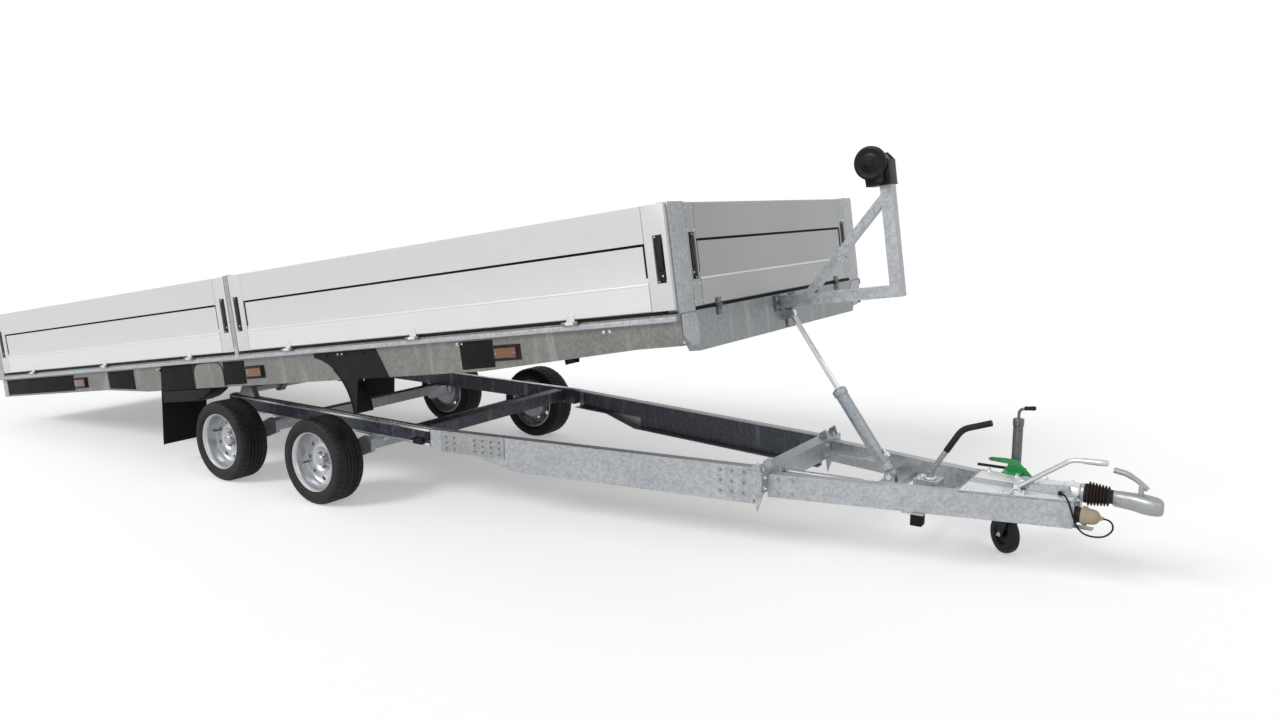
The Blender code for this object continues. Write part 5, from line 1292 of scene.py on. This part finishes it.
def pump_details():
    """Cap and plugs on the pump, and the lever in its socket."""
    x = PUMP_TAIL + PUMP_LONG * 0.55
    cap = lathe([(0.0, 0.4303), (0.0300, 0.4303), (0.0320, 0.4330), (0.0300, 0.4400), (0.0235, 0.4420),
                 (0.0, 0.4420)], 28, (x, 0, 0), "z")
    fit("pump_cap", cap, "bright", "chassis", CHASSIS)
    socket_z = 0.4503
    post = soft_block(about(x, 0.014), (-0.014, 0.014), (socket_z, socket_z + 0.018), 0.002)
    low, knee, tip = Vector((x, 0, socket_z + 0.010)), Vector((3.508, 0, 0.700)), Vector((3.646, 0, 0.748))
    tube = round_bar(low, low.lerp(knee, 0.90), 0.0130, 20)
    fit("pump_lever_tube", joined(post, tube), "zinc_bed", "chassis", CHASSIS, "pump_lever")
    grip = bent_bar([low.lerp(knee, 0.50), knee, tip], 0.0155, 0.035, 6)
    fit("pump_lever_grip", grip, "trim", "chassis", CHASSIS)
    fill = joined(lathe([(0.0, 0.4303), (0.011, 0.4303), (0.011, 0.4360), (0.0, 0.4370)], 6,
                        (3.318, 0.028, 0), "z"),
                  lathe([(0.0, 0.4303), (0.009, 0.4303), (0.009, 0.4350), (0.0, 0.4358)], 6,
                        (3.318, -0.028, 0), "z"))
    fit("pump_plugs", fill, "bright", "chassis", CHASSIS)


# Overrun coupling: white covers, drawtube, bellows, cast head and handle
def coupling_details():
    """Covers, sleeve and bellows of the overrun coupling, then its head and lead."""
    z = DRAW_Z
    top, inner = BAR_TOP + 0.0063, 0.050
    cover = []
    for x0, x1 in ((3.566, 3.780), (3.800, 4.040)):
        for side in (-1, 1):
            edge = [(x0, side * inner), (x1, side * inner), (x1, side * (drawbar_y(x1) + 0.010)),
                    (x0, side * (drawbar_y(x0) + 0.012))]
            cover.append(rounded(outline_block(edge, "z", top, top + 0.004), 0.0012))
    fit("coupling_covers", joined(*cover), "cover", "chassis", CHASSIS)
    bolts = [((x, side * (drawbar_y(x) - 0.002), top + 0.004), UP) for x in (3.600, 3.740, 3.835)
             for side in (-1, 1)]
    bolted("cover_bolts", bolts, "bright", "chassis", CHASSIS, 0.0095, 0.008, 0.014, 0.006)
    sleeve = lathe([(0.0362, 3.842), (0.0400, 3.842), (0.0415, 3.846), (0.0415, 3.862), (0.0380, 3.868),
                    (0.0380, 3.985), (0.0420, 3.990), (0.0440, 3.996), (0.0440, 4.050), (0.0420, 4.056),
                    (0.0362, 4.056)], 48, (0, 0, z), "x")
    fit("draw_sleeve", sleeve, "bright", "chassis", CHASSIS)
    nipples = [round_bar((x, 0, z + 0.037), (x, 0, z + 0.052), 0.0045, 6) for x in (3.910, 4.020)]
    fit("grease_nipples", joined(*nipples), "bright", "chassis", CHASSIS)
    count, start, length = 7, DRAW_END + 0.0006, 0.1190
    folds = [(0.0200, start), (0.0440, start), (0.0450, start + 0.002), (0.0450, start + 0.009)]
    pitch = (length - 0.024) / count
    for k in range(count):
        a, big, small = start + 0.011 + pitch * k, 0.0560 - 0.0016 * k, 0.0410 - 0.0012 * k
        folds += [(small, a), (small, a + pitch * 0.12), (big - 0.001, a + pitch * 0.42),
                  (big, a + pitch * 0.54), (big - 0.001, a + pitch * 0.66), (small, a + pitch * 0.94)]
    folds += [(0.0320, start + length - 0.011), (0.0320, start + length - 0.002), (0.0310, start + length),
              (0.0200, start + length)]
    fit("bellows_folds", lathe(folds, 56, (0, 0, z), "x", smooth=50), "bellows", "chassis", CHASSIS,
        "bellows")
    head()
    lighting_lead()


HEAD_STEPS, HEAD_POWER = 24, 2.8


def squared(value):
    """Pushes a sine or cosine outward, so that a circle turns into a rounded square."""
    return math.copysign(abs(value) ** (2 / HEAD_POWER), value)


def head_section(x, half, low, high):
    """One rounded section of the cast head."""
    middle, reach = (low + high) / 2, (high - low) / 2
    return [(x, half * squared(c), middle + reach * squared(s)) for c, s in circle(HEAD_STEPS)]


def head():
    """The cast head over the ball's bore, its bolts and the coupling handle."""
    a, b, z = HEAD_X, TIP_X, DRAW_Z
    stations = [(a + 0.0002, 0.0270, z - 0.0360, z + 0.0300), (a + 0.004, 0.0300, z - 0.0400, z + 0.0312),
                (a + 0.040, 0.0335, z - 0.0430, z + 0.0316), (a + 0.075, 0.0350, z - 0.0460, z + 0.0318),
                (a + 0.095, 0.0380, z - 0.0490, z + 0.0318), (a + 0.113, 0.0425, z - 0.0530, z + 0.0315),
                (a + 0.130, 0.0455, z - 0.0550, z + 0.0305), (a + 0.150, 0.0460, z - 0.0560, z + 0.0285),
                (a + 0.170, 0.0455, z - 0.0560, z + 0.0255), (a + 0.187, 0.0420, z - 0.0550, z + 0.0205),
                (a + 0.198, 0.0350, z - 0.0510, z + 0.0120), (a + 0.2032, 0.0270, z - 0.0450, z + 0.0020),
                (b - 0.0004, 0.0160, z - 0.0380, z - 0.0090)]
    work = bmesh.new()
    rings = [[work.verts.new(p) for p in head_section(*s)] for s in stations]
    for one, two in zip(rings, rings[1:]):
        for i in range(HEAD_STEPS):
            j = (i + 1) % HEAD_STEPS
            work.faces.new((one[i], one[j], two[j], two[i]))
    for ring in (rings[0], rings[-1]):
        work.faces.new(ring)
    body = to_object("head", work, 50)
    ball = lathe([(0.0, -0.090), (0.0255, -0.090), (0.0255, -0.026), (0.0235, -0.012), (0.0180, -0.003),
                  (0.0090, 0.003), (0.0, 0.004)], 40, (b - 0.055, 0, z), "z")
    body = drilled(body, ball)
    fit("head_casting", body, "cast", "chassis", CHASSIS, "coupling_head")
    bolts = [((a + dx, side * y, z), (0, side, 0)) for dx, y in ((0.030, 0.0322), (0.068, 0.0345))
             for side in (-1, 1)]
    bolted("head_bolts", bolts, "bolt", "chassis", CHASSIS, 0.0085, 0.005, 0.0115, 0.004)
    crown = z + 0.0323
    post = a + 0.110
    foot = lathe([(0.0, 0.0), (0.018, 0.0), (0.018, 0.004), (0.012, 0.006), (0.0, 0.006)], 24,
                 (post, 0, crown - 0.0045), "z")
    stalk = soft_block(about(post, 0.011), (-0.011, 0.011), (crown - 0.004, crown + 0.050), 0.003)
    lever = bent_bar([(a - 0.004, 0, crown + 0.0930), (a + 0.045, 0, crown + 0.0850),
                      (a + 0.092, 0, crown + 0.0610), (a + 0.136, 0, crown + 0.0240)], 0.0115, 0.03, 6)
    fit("head_handle", joined(stalk, foot, lever), "cast", "chassis", CHASSIS, "coupling_handle")
    grip = bent_bar([(a - 0.006, 0, crown + 0.0933), (a + 0.045, 0, crown + 0.0850),
                     (a + 0.070, 0, crown + 0.0725)], 0.0132, 0.03, 6)
    fit("head_grip", grip, "cast", "chassis", CHASSIS)


def smooth_line(points, steps):
    """A Catmull-Rom line through points."""
    pts = [Vector(p) for p in points]
    pts = [pts[0] * 2 - pts[1]] + pts + [pts[-1] * 2 - pts[-2]]
    line = []
    for p, q, r, s in zip(pts, pts[1:], pts[2:], pts[3:]):
        for k in range(steps):
            t = k / steps
            line.append(0.5 * ((2 * q) + (r - p) * t + (2 * p - 5 * q + 4 * r - s) * t * t
                               + (3 * q - p - 3 * r + s) * t ** 3))
    return line + [pts[-2]]


LEAD_D = 0.008


def lighting_lead():
    """Lighting lead from the housing into its plug, parked in a socket on the near rail's tip."""
    x, y, z = 4.0548, -0.092, 0.3950
    bracket = joined(soft_block((x - 0.0045, x - 0.0003), about(y, 0.030), (z - 0.058, z + 0.046), 0.001),
                     soft_block((x - 0.001, x + 0.080), about(y, 0.026), (z - 0.0580, z - 0.0545), 0.001))
    fit("plug_bracket", bracket, "zinc_chassis", "chassis", CHASSIS)
    holder = lathe([(0.0, 0.0), (0.0380, 0.0), (0.0400, 0.003), (0.0400, 0.010), (0.0345, 0.013),
                    (0.0345, 0.026), (0.0, 0.026)], 40, (x, y, z), "x")
    fit("parking_socket", holder, "trim", "chassis", CHASSIS)
    plug = lathe([(0.0, 0.0265), (0.0370, 0.0265), (0.0395, 0.030), (0.0395, 0.052), (0.0360, 0.057),
                  (0.0345, 0.078), (0.0300, 0.092), (0.0190, 0.102), (0.0110, 0.106), (0.0085, 0.118),
                  (0.0, 0.118)], 44, (x, y, z), "x")
    ears = [soft_block((x + 0.033, x + 0.052), about(y, 0.008),
                       (z + s * 0.040 - 0.004, z + s * 0.040 + 0.004), 0.001) for s in (-1, 1)]
    fit("lighting_plug", joined(plug, *ears), "plug", "chassis", CHASSIS)
    grommet = lathe([(0.0042, -0.004), (0.0100, -0.004), (0.0105, 0.000), (0.0085, 0.004), (0.0058, 0.022),
                     (0.0042, 0.023)], 24, axis="z")
    grommet = along(grommet, (3.9790, -0.0506, 0.4698), (3.9920, -0.0700, 0.4722))
    fit("lead_grommet", grommet, "trim", "chassis", CHASSIS)
    line = smooth_line([(3.9800, -0.0520, 0.4700), (4.0060, -0.0900, 0.4730), (4.0300, -0.1260, 0.4570),
                        (4.0500, -0.1520, 0.4230), (4.0670, -0.1640, 0.3840), (4.0870, -0.1640, 0.3500),
                        (4.1130, -0.1560, 0.3290), (4.1450, -0.1420, 0.3200), (4.1780, -0.1270, 0.3210),
                        (4.2000, -0.1140, 0.3320), (4.2150, -0.1030, 0.3520), (4.2130, -0.0950, 0.3740),
                        (4.1980, -0.0920, 0.3900), (4.1700, -0.0920, 0.3950)], 2)
    lead = bent_bar(line, LEAD_D / 2, 0.001, 4)
    fit("lighting_lead", lead, "flap", "chassis", CHASSIS)


def handbrake():
    """The parking brake's lever, grip and pin."""
    y = -0.052
    points = [(3.790, y, 0.470), (3.972, y, 0.600), (4.020, y, 0.635), (4.168, y, 0.640)]
    lever = bent_bar(points, 0.0115, 0.09, 6)
    foot = soft_block((3.774, 3.806), about(y, 0.008), (0.4566, 0.486), 0.002)
    fit("handbrake_arm", joined(lever, foot), "lever", "chassis", CHASSIS, "handbrake_lever")
    grip = [(0.0, 0.0), (0.0125, 0.0), (0.0140, 0.004), (0.0135, 0.030), (0.0145, 0.060), (0.0140, 0.095),
            (0.0105, 0.102), (0.0, 0.102)]
    fit("handbrake_grip", along(lathe(grip, 24, axis="z"), (4.070, y, 0.6367), (4.172, y, 0.6401)), "lever",
        "chassis", CHASSIS)
    pin = lathe(mirrored([(0.0, -0.014), (0.009, -0.014)]), 6, (3.790, y, 0.470), "y")
    fit("handbrake_pin", pin, "bright", "chassis", CHASSIS)


# Jockey wheel: outer tube and crank, green clamp with its lever, wheel and nuts
def jockey():
    """Outer tube, crank and knob, clamp, and the wheel on its swivel."""
    x, y = JOCKEY.x, JOCKEY.y
    top = 0.722
    body = lathe([(0.0, top), (0.0100, top), (0.0255, top - 0.003), (0.0270, top - 0.007),
                  (0.0270, top - 0.035), (0.0262, top - 0.039), (0.0240, top - 0.041), (0.0240, 0.3945),
                  (0.0203, 0.3945), (0.0203, top - 0.025), (0.0, top - 0.025)], 40, (x, y, 0), "z")
    crank = bent_bar([(x, y, top - 0.011), (x, y, top + 0.030), (x + 0.010, y, top + 0.046),
                      (x + 0.030, y, top + 0.050)], 0.0075, 0.014, 5)
    fit("jockey_outer", joined(body, crank), "graphite", "chassis", CHASSIS, "jockey_tube")
    knob = lathe([(0.0, 0.022), (0.0085, 0.022), (0.0110, 0.028), (0.0100, 0.042), (0.0115, 0.068),
                  (0.0085, 0.075), (0.0, 0.0755)], 20, axis="z")
    knob = along(knob, (x + 0.004, y, top + 0.0495), (x + 0.060, y, top + 0.0560))
    fit("jockey_knob", knob, "trim", "chassis", CHASSIS)
    face = drawbar_y(x) + 0.0305
    z0, z1 = BAR_TOP - 0.050, BAR_TOP + 0.012
    clamp = soft_block(about(x, 0.045), (face, y + 0.038), (z0, z1), 0.005, 3)
    clamp = drilled(clamp, round_bar((x, y, z0 - 0.1), (x, y, z1 + 0.1), 0.0246, 40))
    wing = outline_block([(x - 0.128, z1 + 0.044), (x - 0.112, z1 + 0.054), (x - 0.030, z1 + 0.058),
                          (x + 0.012, z1 + 0.056), (x + 0.062, z1 + 0.010), (x + 0.094, z1 - 0.022),
                          (x + 0.080, z1 - 0.036), (x + 0.030, z0 + 0.010), (x - 0.030, z0 + 0.010),
                          (x - 0.030, z1 + 0.030), (x - 0.115, z1 + 0.034)], "y", y - 0.046, y - 0.038)
    wing = rounded(wing, 0.0025)
    stub = round_bar((x - 0.036, y - 0.046, z1 + 0.004), (x - 0.036, y + 0.046, z1 + 0.004), 0.007, 16)
    fit("jockey_clamp_cast", joined(clamp, wing, stub), "green", "chassis", CHASSIS, "jockey_clamp")
    bar = round_bar((x - 0.178, y - 0.040, z1 + 0.006), (x - 0.030, y - 0.032, z1 + 0.004), 0.0075, 14)
    fit("jockey_clamp_bar", bar, "trim", "chassis", CHASSIS)
    bolts = [((x + dx, y + 0.038, z), OUTWARD) for dx in (-0.034, 0.034) for z in (z0 + 0.015, z1 - 0.015)]
    bolted("jockey_clamp_bolts", bolts, "bright", "chassis", CHASSIS, 0.0065, 0.005, 0.009, 0.0035)
    swivel = CHASSIS @ Matrix.Translation((x, y, 0)) @ Matrix.Rotation(JOCKEY_TURN, 4, "Z")
    half = 0.0245
    tread = mirrored([(0.0600, -0.0200), (0.0640, -0.0235), (0.0860, -0.0240), (0.0920, -0.0215),
                      (0.0970, -0.0180), (0.0992, -0.0100), (0.1000, -0.0030)])
    wheel_place = swivel @ Matrix.Translation((-0.055, 0, 0.100))
    fit("jockey_tyre", lathe(tread, 64), "tyre", "jockey_wheel", wheel_place, "jockey_wheel")
    disc = mirrored([(0.0090, -half), (0.0180, -half), (0.0185, -0.0100), (0.0520, -0.0080),
                     (0.0560, -0.0190), (0.0605, -0.0200)])
    fit("jockey_rim", lathe(disc, 48), "trim", "jockey_wheel", wheel_place)
    ends = [((-0.055, s * 0.0365, 0.100), (0, s, 0)) for s in (-1, 1)]
    bolted("jockey_fork_nuts", ends, "bright", "jockey_fork", swivel, 0.0080, 0.006, 0.0115, 0.005)


for step in (look, light, studio_floor, dress_nodes, wheels, boards, front_posts, bed_sides, deck, tail,
             bed_front, guards, winch, chassis, cross_details, ram_details, pump_details, coupling_details,
             handbrake, jockey):
    step()
